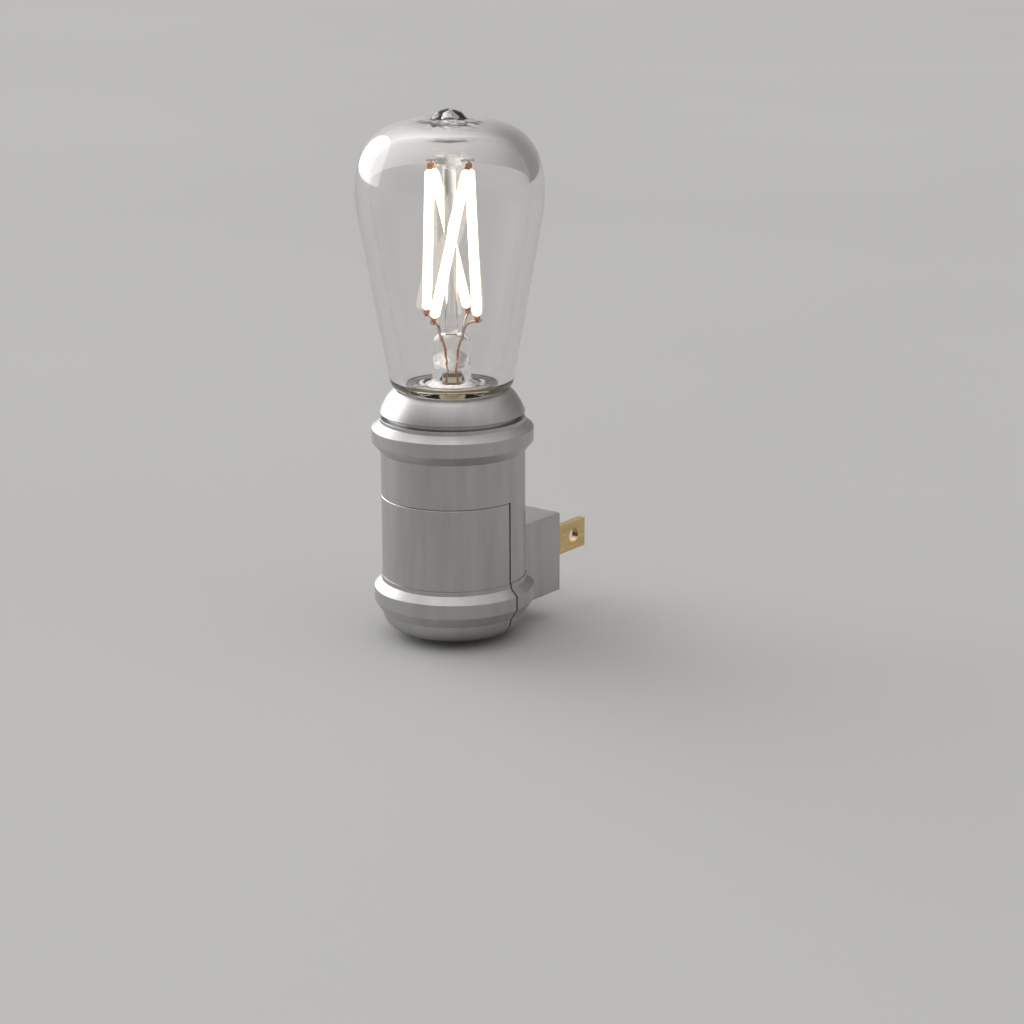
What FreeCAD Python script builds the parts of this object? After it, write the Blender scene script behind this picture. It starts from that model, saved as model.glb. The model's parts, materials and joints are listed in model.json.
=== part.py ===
import FreeCAD
import Part
import math
import os

# Plug-in night light: a satin nickel body that hangs on its two blades, with a
# clear pear-shaped bulb standing on it. All sizes are in millimetres.
# The origin is midway between the blades on the plug's rear face, +Z is up and
# +Y points into the outlet.

# Overall placing
AXIS_REACH = 21.0            # from the plug's rear face out to the body's upright axis
CAGE_TURN = 37.3             # how far the bulb's inner parts are turned about that axis

# Body: tube, beads and underside
TUBE_RADIUS = 14.9
WALL = 1.8
FLOOR_Z = -13.1
FLOOR_FLAT_RADIUS = 9.6
LIP_RADIUS = 15.1
BEAD_RADIUS = 16.65
LOWER_FOOT_Z = -8.8
LOWER_BAND_Z = -6.6
LOWER_BAND_TOP_Z = -3.75
LOWER_LIP_Z = -2.2
TUBE_START_Z = -1.3
PARTING_Z = 15.9
TUBE_END_Z = 25.05
UPPER_BAND_Z = 27.1
UPPER_BAND_TOP_Z = 29.9
UPPER_LIP_Z = 31.2
SLEEVE_TOP_Z = 32.05
BEAD_BREAK = 0.12             # the band's corners are broken this far each way
BEAD_ROOT_STEP = 0.15         # the lower bead's underside starts this much outside the lip
UNDERSIDE_REACH = 14.6
ROUND_STEPS = 5               # bands in a soft corner of the body
SEAM_GAP = 0.14
SEAM_BEVEL = 0.25

# Top cap
CAP_EDGE_Z = 32.95
CAP_DOME_REACH = 14.3
CAP_DOME_RISE_Z = 34.9
CAP_SHOULDER_RADIUS = 12.8
CAP_SHOULDER_Z = 36.85
CAP_RIM_RADIUS = 11.6
CAP_RIM_Z = 37.9
CAP_RIM_DROP = 0.4            # from the rim down to the bulb's seat
CAP_SKIRT_RADIUS = 13.75
CAP_SKIRT_WALL = 1.6
CAP_LEDGE_Z = 28.0
CAP_ROOF = 1.5
SEAT_RADIUS = 10.5
SEAT_THICKNESS = 1.0
SEAT_LEDGE = 1.4
SEAT_HOLE_RADIUS = 3.4
SEAT_PIN_HOLE_RADIUS = 0.7
SEAT_PIN_ACROSS = 4.9
SEAT_PIN_BACK = 3.7
CEMENT_THICKNESS = 0.2
CEMENT_INNER_RADIUS = 8.0
PLAY = 0.15                  # between parts that slide together
OVERCUT = 1.0                # cutting tools reach this far past what they cut

# Bulb envelope
GLASS_WALL = 2.9
GLASS_FLOOR = 1.5
FOOT_CORNER = 2.45
CAVITY_CORNER = 1.2
DIMPLE_DEPTH = 1.1           # the hollow left under the sealed tip
FOOT_HOLE_RADIUS = 3.2
NECK_RADIUS = 12.65
NECK_Z = 39.4
BULB_RADIUS = 19.0
BELLY_RADIUS = 32.3          # of the arc that joins the neck's straight side to the widest ring
WIDEST_Z = 78.3
CROWN_Z = 92.4
CROWN_FULLNESS = 0.68
TIP_BASE_RADIUS = 3.9
TIP_RADIUS = 3.0
TIP_Z = 94.4
FOOT_STEPS = 4
BELLY_STEPS = 2
SHOULDER_STEPS = 8
TIP_STEPS = 4

# Stem, press and support rod
STEM_RADIUS = 4.0
STEM_WALL = 0.9
FLARE_RADIUS = 5.6
FLARE_HEIGHT = 1.6
FLARE_STEPS = 3
PRESS_Z = 42.3
PRESS_TOP_Z = 49.7
PRESS_HALF_WIDTH = 3.8
PRESS_HALF_DEPTH = 1.7
PRESS_TUCK = 0.1             # the press starts this far inside the stem
PRESS_PINCH_RISE = 2.4       # first section above the stem, not yet fully squeezed
PRESS_PINCH_EXTRA = 0.6
PRESS_FLAT_RISE = 4.4        # from here on the press is flat
PRESS_TAPER = 0.3
PRESS_SIDES = 18
ROD_RADIUS = 1.25
BUTTON_Z = 83.7
BUTTON_TOP_Z = 86.3
BUTTON_RADIUS = 3.0
BUTTON_EDGE = 0.7

# Filaments and their wires, in the cage's own directions (across, towards the front)
FILAMENT_RADIUS = 1.0
FILAMENT_EDGE = 0.4
FILAMENT_FOOT_Z = 53.65
FILAMENT_TOP_Z = 82.8
FOOT_ACROSS = 4.3
FOOT_FRONT = 4.6
FOOT_TWIST = -12.0           # the four feet stand turned from the press by this angle
TOP_ACROSS = 3.95
TOP_LEAN = 0.5
TOP_NEAR = 0.1
TOP_FAR = 2.2
TAB_WIDTH = 1.1
TAB_THICKNESS = 0.45
TAB_LENGTH = 1.3
WIRE_RADIUS = 0.28
LEAD_ACROSS = 2.2
LEAD_FRONT = 0.7
LEAD_RISE = 1.2
LEAD_HOOK = 1.3
LEAD_BEND = 0.8
TOP_WIRE_RISE = 0.7
TOP_WIRE_BEND = 0.4
TOP_WIRE_PLAY = 0.05
SEAL_ACROSS = 1.2
SEAL_END_Z = 35.4

# Plug block, its insulating face and the blades
BLOCK_HALF_WIDTH = 11.9
BLOCK_HALF_HEIGHT = 8.55
BLOCK_WALL = 1.8
BLOCK_EDGE = 0.35
FACE_THICKNESS = 2.0
FACE_LEDGE = 1.0
FACE_PLAY = 0.1
EDGE_REACH = 1.0             # an edge that runs further than this along Y is a long one
BLADE_PITCH = 12.7
BLADE_THICKNESS = 1.5
BLADE_HEIGHT = 6.35
BLADE_LENGTH = 16.3
BLADE_HOLE_RADIUS = 1.6
BLADE_HOLE_REACH = 11.7
BLADE_TIP_BEVEL = 0.5
BLADE_SHOULDER = 1.1
BLADE_SHOULDER_LENGTH = 1.4
BLADE_TAIL_HEIGHT = 3.2
BLADE_TAIL_LENGTH = 4.0
BLADE_PLAY = 0.05
BLADE_TIP_FIND = 0.01        # edges this near the blade's end are its tip edges

# Driver board and what stands on it, measured back from the body's axis
BOARD_BACK = 2.5
BOARD_THICKNESS = 1.0
BOARD_EDGE_GAP = 2.1         # from the body's bore in to the board's edges
BOARD_FOOT_Z = -8.0
BOARD_TOP_Z = 18.0
RAIL_LIP = 1.0
RAIL_INSET = 1.6
RAIL_HEIGHT = 4.0
RAIL_LOWER_Z = 1.0
RAIL_UPPER_Z = 11.0
FILM_CAPACITOR_SIZE = (12.0, 6.0, 9.0)
FILM_CAPACITOR_AT = (-3.5, 10.5)
ELECTROLYTIC_RADIUS = 4.0
ELECTROLYTIC_LENGTH = 9.0
ELECTROLYTIC_AT = (5.5, -0.5)
CHIP_SIZE = (4.9, 1.5, 3.9)
CHIP_AT = (-5.5, 0.5)
CHIP_LEGS = 4
CHIP_LEG_PITCH = 1.27
BRIDGE_LEGS = 2
BRIDGE_LEG_PITCH = 2.54
LEG_WIDTH = 0.4
LEG_THICKNESS = 0.2
LEG_TUCK = 0.3               # how far a leg runs in under its package
LEG_RISE_DEPTH = 0.4
LEG_REACH = 1.0
LEG_STANDOFF = 0.1
BRIDGE_SIZE = (4.7, 2.5, 4.0)
BRIDGE_AT = (0.0, 12.0)
FUSE_RADIUS = 1.5
FUSE_LENGTH = 9.0
FUSE_AT = (0.0, -4.5)
FUSE_LEAD_RADIUS = 0.3
FUSE_LEAD_REACH = 1.5
FUSE_LEAD_BEND = 0.7
FUSE_STANDOFF = 0.3
FUSE_EDGE = 0.4
CAPACITOR_EDGE = 0.6
GROOVE_FROM_FOOT = 1.2
GROOVE_WIDTH = 0.9
GROOVE_DEPTH = 0.35

# Snap hooks and the tongue that join the cover to the shell
TONGUE_HEIGHT = 1.8
TONGUE_WALL = 0.9
HOOK_HEIGHT = 3.6
HOOK_REACH_ANGLE = 11.0
HOOK_LOW_Z = -5.2
HOOK_HIGH_Z = 6.2
HOOK_NIB = 0.45
HOOK_NIB_ANGLE = 4.0
POCKET_PLAY_ANGLE = 1.0
TONGUE_END_ANGLE = 80.0      # each way from the front
HOOK_ROOT_ANGLE = 72.0
HOOK_ROOT_END_ANGLE = 84.0
SEAM_ANGLE = 90.0

# Dusk sensor in the front half of the underside
SENSOR_FORWARD = 5.6
LENS_RADIUS = 2.6
LENS_FLANGE = 0.8
LENS_FLANGE_THICKNESS = 0.6
LENS_PROUD = 0.35
LENS_BEVEL = 0.3
CELL_RADIUS = 2.4
CELL_HEIGHT = 2.0
CELL_LEG_RADIUS = 0.25
CELL_LEG_PITCH = 3.0
CELL_LEG_BEND = 1.0
CELL_LEG_FROM_FOOT = 2.2     # where the legs meet the board, above its lower edge

# Slide switch in the rear half of the underside
SWITCH_BACK = 5.6
SWITCH_TRAVEL = 2.0          # each way from the middle position
SLIDER_HALF_LENGTH = 1.6
SLIDER_HALF_WIDTH = 1.05
SLIDER_PROUD = 1.2
SLIDER_GROOVE = 0.25         # half the width of each grip groove, and its depth
SLIDER_GROOVE_PITCH = 1.0
SLIDER_BASE_HALF_LENGTH = 1.9
SLIDER_BASE_HALF_WIDTH = 1.45
SLIDER_BASE_HEIGHT = 1.5
SLIDER_PLAY = 0.2
SWITCH_CASE_WALL = 0.5
SWITCH_CASE_HEIGHT = 3.6
SWITCH_PIN_RADIUS = 0.35
SWITCH_PIN_ROOT = 0.2
SWITCH_PIN_LENGTH = 2.0
SWITCH_PIN_PITCH = 2.5

# Insulated wires
HOOKUP_RADIUS = 0.65
HOOKUP_STRAIGHT = 3.5        # straight run at each end of a wire
HOOKUP_BEND = 1.8
BLADE_WIRE_Z = 3.0           # where the blade wires meet the board
BULB_WIRE_X = 3.0
BULB_WIRE_DROP = 1.6         # from the board's top down to the bulb wires
BULB_WIRE_TURN_Z = 25.5
BULB_WIRE_BEND = 1.4

# Worked-out places
AXIS_Y = -AXIS_REACH
TUBE_BORE = TUBE_RADIUS - WALL
FLOOR_TOP_Z = FLOOR_Z + WALL
SEAT_TOP_Z = CAP_RIM_Z - CAP_RIM_DROP
SEAT_FOOT_Z = SEAT_TOP_Z - SEAT_THICKNESS
GLASS_FOOT_Z = SEAT_TOP_Z + CEMENT_THICKNESS
GLASS_FLOOR_Z = GLASS_FOOT_Z + GLASS_FLOOR
BOARD_HALF_WIDTH = TUBE_BORE - BOARD_EDGE_GAP
BOARD_FRONT_Y = AXIS_Y + BOARD_BACK - BOARD_THICKNESS
BOARD_REAR_Y = AXIS_Y + BOARD_BACK
UP = FreeCAD.Vector(0, 0, 1)


def vec(x, y, z):
    return FreeCAD.Vector(x, y, z)


def swell(start, handle, end, steps):
    """Points along a soft corner that leaves start and meets end along the lines to handle"""
    points = []
    for i in range(steps + 1):
        t = i / steps
        near = (1 - t) ** 2
        bend = 2 * t * (1 - t)
        far = t ** 2
        points.append(tuple(near * a + bend * b + far * c for a, b, c in zip(start, handle, end)))
    return points


def dome(start, first, second, end, steps):
    """Points along a fuller corner, drawn by two handles"""
    points = []
    for i in range(steps + 1):
        t = i / steps
        shares = ((1 - t) ** 3, 3 * t * (1 - t) ** 2, 3 * t ** 2 * (1 - t), t ** 3)
        by_axis = zip(start, first, second, end)
        points.append(tuple(sum(k * v for k, v in zip(shares, values)) for values in by_axis))
    return points


def turned(centre, radius, first, last, steps):
    """Points along a true arc in a turned outline, between two angles from straight out"""
    points = []
    for i in range(steps + 1):
        angle = first + (last - first) * i / steps
        points.append((centre[0] + radius * math.cos(angle), centre[1] + radius * math.sin(angle)))
    return points


def profile_face(points):
    """A closed outline of (radius, z) points, in the upright plane through the body's axis"""
    corners = [vec(radius, AXIS_Y, z) for radius, z in points]
    return Part.Face(Part.makePolygon(corners + corners[:1]))


def spin(face, angle=360):
    """Turn a face about the body's axis; negative angles sweep the front half"""
    return face.revolve(vec(0, AXIS_Y, 0), UP, angle)


def drum(radius, low, high, x=0.0, y=AXIS_Y):
    """An upright round bar between two heights"""
    return Part.makeCylinder(radius, high - low, vec(x, y, low), UP)


def block(low, high):
    """A box between two opposite corners"""
    size = vec(*high) - vec(*low)
    return Part.makeBox(size.x, size.y, size.z, vec(*low))


def eased(points, bend):
    """The same runs with each inner corner cut by two shorter turns"""
    corners = [vec(*p) for p in points]
    path = [corners[0]]
    for before, here, after in zip(corners, corners[1:], corners[2:]):
        back = (before - here).normalize()
        ahead = (after - here).normalize()
        step = bend / math.tan(back.getAngle(ahead) / 2)
        middle = (back + ahead).normalize() * (bend / math.sin(back.getAngle(ahead) / 2) - bend)
        path.extend([here + back * step, here + middle, here + ahead * step])
    path.append(corners[-1])
    return path


def bent_wire(points, radius, bend):
    """A round wire along straight runs, mitred round each bend"""
    path = eased(points, bend)
    start = (path[1] - path[0]).normalize()
    spine = Part.makePolygon(path)
    section = Part.Wire(Part.makeCircle(radius, path[0], start))
    return spine.makePipeShell([section], True, False, 1)


def sector(inner, outer, low, high, first, last):
    """Part of a ring; angles run from the front of the body round to the right"""
    ring = profile_face([(inner, low), (outer, low), (outer, high), (inner, high)])
    swept = ring.revolve(vec(0, AXIS_Y, 0), UP, last - first)
    swept.rotate(vec(0, AXIS_Y, 0), UP, first - 90)
    return swept


def cage_point(across, front, z):
    """A point inside the bulb, given across and towards the viewer of the turned cage"""
    turn = math.radians(CAGE_TURN)
    x = across * math.cos(turn) + front * math.sin(turn)
    y = across * math.sin(turn) - front * math.cos(turn)
    return (x, AXIS_Y + y, z)


def round_edges(shape):
    """The circles at the ends of a round bar"""
    return [edge for edge in shape.Edges if len(edge.Vertexes) == 1]


def save(node, shape):
    """Write one sub-part"""
    shape.exportStep("parts/" + node + ".step")


def group(solids):
    return Part.makeCompound(solids)


# Body of revolution below and above the horizontal parting line
def bead(radius, low, high, below, above):
    """Outline of a raised band between two sloped sides, with its two corners broken"""
    slope_in = (radius - below[0]) / (low - below[1])
    slope_out = (radius - above[0]) / (above[1] - high)
    drop = BEAD_BREAK
    return [
        below,
        (radius - drop * slope_in, low - drop),
        (radius, low + drop),
        (radius, high - drop),
        (radius - drop * slope_out, high + drop),
        above,
    ]


def lower_face(top_z, bevel):
    """Half-section of the lower body's wall, up to top_z"""
    outline = swell(
        (FLOOR_FLAT_RADIUS, FLOOR_Z), (UNDERSIDE_REACH, FLOOR_Z), (LIP_RADIUS, LOWER_FOOT_Z), ROUND_STEPS
    )
    below = (LIP_RADIUS + BEAD_ROOT_STEP, LOWER_FOOT_Z)
    outline += bead(BEAD_RADIUS, LOWER_BAND_Z, LOWER_BAND_TOP_Z, below, (LIP_RADIUS, LOWER_LIP_Z))
    outline += [(LIP_RADIUS, TUBE_START_Z), (TUBE_RADIUS, TUBE_START_Z)]
    if bevel > 0:
        outline.append((TUBE_RADIUS, top_z - bevel))
    outline += [
        (TUBE_RADIUS - bevel, top_z),
        (TUBE_BORE, top_z),
        (TUBE_BORE, FLOOR_TOP_Z + WALL),
        (TUBE_BORE - WALL, FLOOR_TOP_Z),
        (0, FLOOR_TOP_Z),
        (0, FLOOR_Z),
    ]
    return profile_face(outline)


def upper_face():
    """Section of the sleeve above the parting line"""
    outline = [(TUBE_BORE, PARTING_Z), (TUBE_RADIUS, PARTING_Z)]
    outline += bead(
        BEAD_RADIUS, UPPER_BAND_Z, UPPER_BAND_TOP_Z, (TUBE_RADIUS, TUBE_END_Z), (TUBE_RADIUS, UPPER_LIP_Z)
    )
    outline += [
        (TUBE_RADIUS, SLEEVE_TOP_Z),
        (CAP_SKIRT_RADIUS + PLAY, SLEEVE_TOP_Z),
        (CAP_SKIRT_RADIUS + PLAY, CAP_LEDGE_Z),
        (TUBE_BORE - WALL / 2, CAP_LEDGE_Z),
        (TUBE_BORE - WALL / 2, CAP_LEDGE_Z - WALL / 2),
        (TUBE_BORE, CAP_LEDGE_Z - WALL),
    ]
    return profile_face(outline)


def lens_hole():
    return drum(LENS_RADIUS + PLAY, FLOOR_Z - OVERCUT, FLOOR_TOP_Z + OVERCUT, y=AXIS_Y - SENSOR_FORWARD)


def slider_slot():
    """The slot lets the knob reach both ends of its travel with play to spare"""
    half_length = SLIDER_HALF_LENGTH + SWITCH_TRAVEL + 2 * SLIDER_PLAY
    half_width = SLIDER_HALF_WIDTH + SLIDER_PLAY
    middle = AXIS_Y + SWITCH_BACK
    return block(
        (-half_length, middle - half_width, FLOOR_Z - OVERCUT),
        (half_length, middle + half_width, FLOOR_TOP_Z + OVERCUT),
    )


def plug_block():
    """Square housing from the body's wall back to the outlet, with a stepped rim for its face"""
    outer = block(
        (-BLOCK_HALF_WIDTH, AXIS_Y + TUBE_BORE - WALL, -BLOCK_HALF_HEIGHT),
        (BLOCK_HALF_WIDTH, 0, BLOCK_HALF_HEIGHT),
    )
    long_edges = []
    for edge in outer.Edges:
        ends = edge.Vertexes
        if abs(ends[0].Y - ends[1].Y) > EDGE_REACH:
            long_edges.append(edge)
    outer = outer.makeChamfer(BLOCK_EDGE, long_edges)
    face_width, face_height = face_opening()
    rim = block((-face_width, -FACE_THICKNESS, -face_height), (face_width, OVERCUT, face_height))
    inside = block(
        (-face_width + FACE_LEDGE, AXIS_Y, -face_height + FACE_LEDGE),
        (face_width - FACE_LEDGE, 0, face_height - FACE_LEDGE),
    )
    return outer, rim, inside


def face_opening():
    """Half-width and half-height of the rim that takes the plug's face"""
    return BLOCK_HALF_WIDTH - BLOCK_WALL, BLOCK_HALF_HEIGHT - BLOCK_WALL


def board_rail(side, low):
    """One slotted rail that grips an edge of the board, on the left or the right"""
    near = BOARD_HALF_WIDTH - RAIL_INSET / 2
    rail = block(
        (near, BOARD_FRONT_Y - RAIL_LIP, low),
        (TUBE_RADIUS - WALL / 2, BOARD_REAR_Y + RAIL_LIP, low + RAIL_HEIGHT),
    )
    slot = block(
        (near - OVERCUT, BOARD_FRONT_Y - FACE_PLAY, low - OVERCUT),
        (BOARD_HALF_WIDTH + FACE_PLAY, BOARD_REAR_Y + FACE_PLAY, low + RAIL_HEIGHT + OVERCUT),
    )
    rail = rail.cut(slot).common(drum(TUBE_RADIUS - WALL / 2, low, low + RAIL_HEIGHT))
    if side < 0:
        rail = rail.mirror(vec(0, 0, 0), vec(1, 0, 0))
    return rail


def hook_sectors(inner, outer, low, high, first, last):
    """The same ring sector on both sides of the body"""
    right = sector(inner, outer, low, high, first, last)
    return [right, right.mirror(vec(0, 0, 0), vec(1, 0, 0))]


def rear_shell():
    wall = spin(lower_face(PARTING_Z, 0), 180)
    wall = wall.fuse(spin(upper_face()))
    outer, rim, inside = plug_block()
    hollow = drum(TUBE_BORE, FLOOR_TOP_Z, PARTING_Z)
    shell = wall.fuse(outer.cut(hollow)).cut(rim).cut(inside)
    for side in (-1, 1):
        for low in (RAIL_LOWER_Z, RAIL_UPPER_Z):
            shell = shell.fuse(board_rail(side, low))
    for low in (HOOK_LOW_Z, HOOK_HIGH_Z):
        nib_end = SEAM_ANGLE + HOOK_REACH_ANGLE
        pockets = hook_sectors(
            TUBE_BORE - OVERCUT, TUBE_BORE + HOOK_NIB + PLAY, low - PLAY, low + HOOK_HEIGHT + PLAY,
            nib_end - HOOK_NIB_ANGLE - POCKET_PLAY_ANGLE, nib_end + POCKET_PLAY_ANGLE,
        )
        for pocket in pockets:
            shell = shell.cut(pocket)
    shell = shell.cut(slider_slot())
    return shell.removeSplitter()


def front_cover():
    wall = spin(lower_face(PARTING_Z - SEAM_GAP / 2, SEAM_BEVEL), -180)
    keep = block(
        (-2 * BEAD_RADIUS, AXIS_Y - 2 * BEAD_RADIUS, FLOOR_Z - OVERCUT),
        (2 * BEAD_RADIUS, AXIS_Y - SEAM_GAP, PARTING_Z),
    )
    cover = wall.common(keep)
    hook_outer = TUBE_BORE - PLAY
    hook_inner = hook_outer - TONGUE_WALL
    foot = PARTING_Z - 2 * TONGUE_HEIGHT
    top = PARTING_Z + TONGUE_HEIGHT
    root_outer = TUBE_BORE + WALL / 2
    reach = TONGUE_END_ANGLE
    tongue = sector(hook_inner, hook_outer, foot, top, -reach, reach)
    root = sector(hook_inner, root_outer, foot, PARTING_Z - TONGUE_HEIGHT, -reach, reach)
    cover = cover.fuse(tongue).fuse(root)
    nib_end = SEAM_ANGLE + HOOK_REACH_ANGLE
    for low in (HOOK_LOW_Z, HOOK_HIGH_Z):
        high = low + HOOK_HEIGHT
        arms = hook_sectors(hook_inner, hook_outer, low, high, HOOK_ROOT_ANGLE, nib_end)
        roots = hook_sectors(hook_inner, root_outer, low, high, HOOK_ROOT_ANGLE, HOOK_ROOT_END_ANGLE)
        nib_start = nib_end - HOOK_NIB_ANGLE
        nibs = hook_sectors(hook_inner, TUBE_BORE + HOOK_NIB, low, high, nib_start, nib_end)
        for piece in arms + roots + nibs:
            cover = cover.fuse(piece)
    cover = cover.cut(lens_hole())
    return cover.removeSplitter()


def top_cap():
    """Domed collar on a skirt that drops into the sleeve, with a recess for the bulb's seat"""
    skirt_bore = CAP_SKIRT_RADIUS - CAP_SKIRT_WALL
    ledge_radius = SEAT_RADIUS - SEAT_LEDGE
    outline = [(CAP_SKIRT_RADIUS, CAP_LEDGE_Z), (CAP_SKIRT_RADIUS, CAP_EDGE_Z)]
    shoulder = (CAP_SHOULDER_RADIUS, CAP_SHOULDER_Z)
    outline += swell((TUBE_RADIUS, CAP_EDGE_Z), (CAP_DOME_REACH, CAP_DOME_RISE_Z), shoulder, ROUND_STEPS)
    outline += [
        (CAP_RIM_RADIUS, CAP_RIM_Z),
        (SEAT_RADIUS + PLAY, SEAT_TOP_Z + PLAY),
        (SEAT_RADIUS + PLAY, SEAT_FOOT_Z),
        (ledge_radius, SEAT_FOOT_Z),
        (ledge_radius, SEAT_FOOT_Z - CAP_ROOF),
        (skirt_bore, SEAT_FOOT_Z - 2 * CAP_ROOF),
        (skirt_bore, CAP_LEDGE_Z),
    ]
    return spin(profile_face(outline))


def bulb_seat():
    disc = drum(SEAT_RADIUS, SEAT_FOOT_Z, SEAT_TOP_Z)
    low = SEAT_FOOT_Z - OVERCUT
    high = SEAT_TOP_Z + OVERCUT
    disc = disc.cut(drum(SEAT_HOLE_RADIUS, low, high))
    for across in (-SEAT_PIN_ACROSS, SEAT_PIN_ACROSS):
        x, y, z = cage_point(across, -SEAT_PIN_BACK, 0)
        disc = disc.cut(drum(SEAT_PIN_HOLE_RADIUS, low, high, x, y))
    return disc


def bulb_cement():
    outer = foot_flat_radius(0, FOOT_CORNER, GLASS_FOOT_Z) - PLAY
    ring = drum(outer, SEAT_TOP_Z, GLASS_FOOT_Z)
    return ring.cut(drum(CEMENT_INNER_RADIUS, SEAT_TOP_Z - OVERCUT, GLASS_FOOT_Z + OVERCUT))


def flare_angle():
    """Lean of the neck's straight side, which runs up into the arc of the belly"""
    out = NECK_RADIUS - (BULB_RADIUS - BELLY_RADIUS)
    rise = WIDEST_Z - NECK_Z
    return math.atan2(rise, out) - math.acos(BELLY_RADIUS / math.hypot(out, rise))


def foot_flat_radius(inset, corner, foot_z):
    """Radius of the flat at foot_z, where its corner arc starts towards the flared side"""
    angle = flare_angle()
    side = NECK_RADIUS + math.tan(angle) * (foot_z + corner - NECK_Z)
    return side - (inset + corner) / math.cos(angle)


def envelope_solid(inset, corner, foot_z):
    """The bulb's outer form, or the space inside it when inset is the wall"""
    angle = flare_angle()
    centre = (foot_flat_radius(inset, corner, foot_z), foot_z + corner)
    outline = [(0, foot_z)] + turned(centre, corner, -math.pi / 2, -angle, FOOT_STEPS)
    belly_centre = (BULB_RADIUS - BELLY_RADIUS, WIDEST_Z)
    outline += turned(belly_centre, BELLY_RADIUS - inset, -angle, 0, BELLY_STEPS)
    widest = BULB_RADIUS - inset
    crown = CROWN_Z - inset
    shoulder = dome(
        (widest, WIDEST_Z),
        (widest, WIDEST_Z + CROWN_FULLNESS * (crown - WIDEST_Z)),
        (TIP_BASE_RADIUS + CROWN_FULLNESS * (widest - TIP_BASE_RADIUS), crown),
        (TIP_BASE_RADIUS, crown),
        SHOULDER_STEPS,
    )
    tip_z = TIP_Z if inset == 0 else crown + DIMPLE_DEPTH
    tip = dome(shoulder[-1], (TIP_RADIUS, crown), (TIP_RADIUS, tip_z), (0, tip_z), TIP_STEPS)
    outline += shoulder[1:] + tip[1:]
    return spin(profile_face(outline))


def bulb_glass():
    outer = envelope_solid(0, FOOT_CORNER, GLASS_FOOT_Z)
    glass = outer.cut(envelope_solid(GLASS_WALL, CAVITY_CORNER, GLASS_FLOOR_Z))
    return glass.cut(drum(FOOT_HOLE_RADIUS, GLASS_FOOT_Z - OVERCUT, GLASS_FLOOR_Z + OVERCUT))


def stem_glass():
    """Flared tube that closes into a flat press"""
    bore = STEM_RADIUS - STEM_WALL
    flare_top = GLASS_FLOOR_Z + FLARE_HEIGHT
    outline = swell(
        (FLARE_RADIUS, GLASS_FLOOR_Z), (STEM_RADIUS, GLASS_FLOOR_Z), (STEM_RADIUS, flare_top), FLARE_STEPS
    )
    outline += [(STEM_RADIUS, PRESS_Z), (bore, PRESS_Z), (bore, GLASS_FLOOR_Z)]
    sections = [
        press_outline(STEM_RADIUS - PRESS_TUCK, STEM_RADIUS - PRESS_TUCK, PRESS_Z),
        press_outline(PRESS_HALF_WIDTH, PRESS_HALF_DEPTH + PRESS_PINCH_EXTRA, PRESS_Z + PRESS_PINCH_RISE),
        press_outline(PRESS_HALF_WIDTH, PRESS_HALF_DEPTH, PRESS_Z + PRESS_FLAT_RISE),
        press_outline(PRESS_HALF_WIDTH - PRESS_TAPER, PRESS_HALF_DEPTH - PRESS_TAPER, PRESS_TOP_Z),
    ]
    press = Part.makeLoft(sections, True, True)
    return spin(profile_face(outline)).fuse(press)


def press_outline(half_width, half_depth, z):
    """An oval across the cage, which gives the press its squeezed sides"""
    corners = []
    for i in range(PRESS_SIDES + 1):
        angle = 2 * math.pi * i / PRESS_SIDES
        corners.append(vec(*cage_point(half_width * math.cos(angle), half_depth * math.sin(angle), z)))
    return Part.makePolygon(corners)


def support_rod():
    rod = drum(ROD_RADIUS, PRESS_TOP_Z, BUTTON_Z + BUTTON_EDGE)
    button = drum(BUTTON_RADIUS, BUTTON_Z, BUTTON_TOP_Z)
    return rod.fuse(button.makeChamfer(BUTTON_EDGE, round_edges(button)))


def seal_wires():
    wires = []
    for across in (-SEAL_ACROSS, SEAL_ACROSS):
        x, y, z = cage_point(across, 0, 0)
        wires.append(drum(WIRE_RADIUS, SEAL_END_Z, PRESS_Z, x, y))
    return group(wires)


def filament_ends():
    """Each filament as its corner and (foot across, foot front, top across, top front)"""
    twist = math.radians(FOOT_TWIST)
    tops = {
        (-1, -1): (-TOP_ACROSS, TOP_NEAR),
        (1, -1): (TOP_LEAN - TOP_ACROSS, -TOP_FAR),
        (-1, 1): (TOP_ACROSS - TOP_LEAN, TOP_FAR),
        (1, 1): (TOP_ACROSS, -TOP_NEAR),
    }
    ends = []
    for corner, top in tops.items():
        across = corner[0] * FOOT_ACROSS
        front = corner[1] * FOOT_FRONT
        foot = (
            across * math.cos(twist) - front * math.sin(twist),
            across * math.sin(twist) + front * math.cos(twist),
        )
        ends.append(foot + top)
    return ends


def filament_line(ends):
    """Foot, top and upward direction of a filament"""
    foot = vec(*cage_point(ends[0], ends[1], FILAMENT_FOOT_Z))
    top = vec(*cage_point(ends[2], ends[3], FILAMENT_TOP_Z))
    along = (top - foot).normalize()
    return foot, top, along


def filament(ends):
    foot, top, along = filament_line(ends)
    rod = Part.makeCylinder(FILAMENT_RADIUS, (top - foot).Length, foot, along)
    return rod.makeChamfer(FILAMENT_EDGE, round_edges(rod))


def tab(start, along):
    """A flat metal strip that starts at a filament's end"""
    strip = Part.makeBox(TAB_WIDTH, TAB_THICKNESS, TAB_LENGTH)
    strip.translate(vec(-TAB_WIDTH / 2, -TAB_THICKNESS / 2, 0))
    strip.rotate(vec(0, 0, 0), UP, CAGE_TURN)
    strip.Placement = FreeCAD.Placement(start, FreeCAD.Rotation(UP, along)).multiply(strip.Placement)
    return strip


def filament_tabs():
    strips = []
    for ends in filament_ends():
        foot, top, along = filament_line(ends)
        strips.append(tab(foot, along * -1))
        strips.append(tab(top, along))
    return group(strips)


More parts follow.
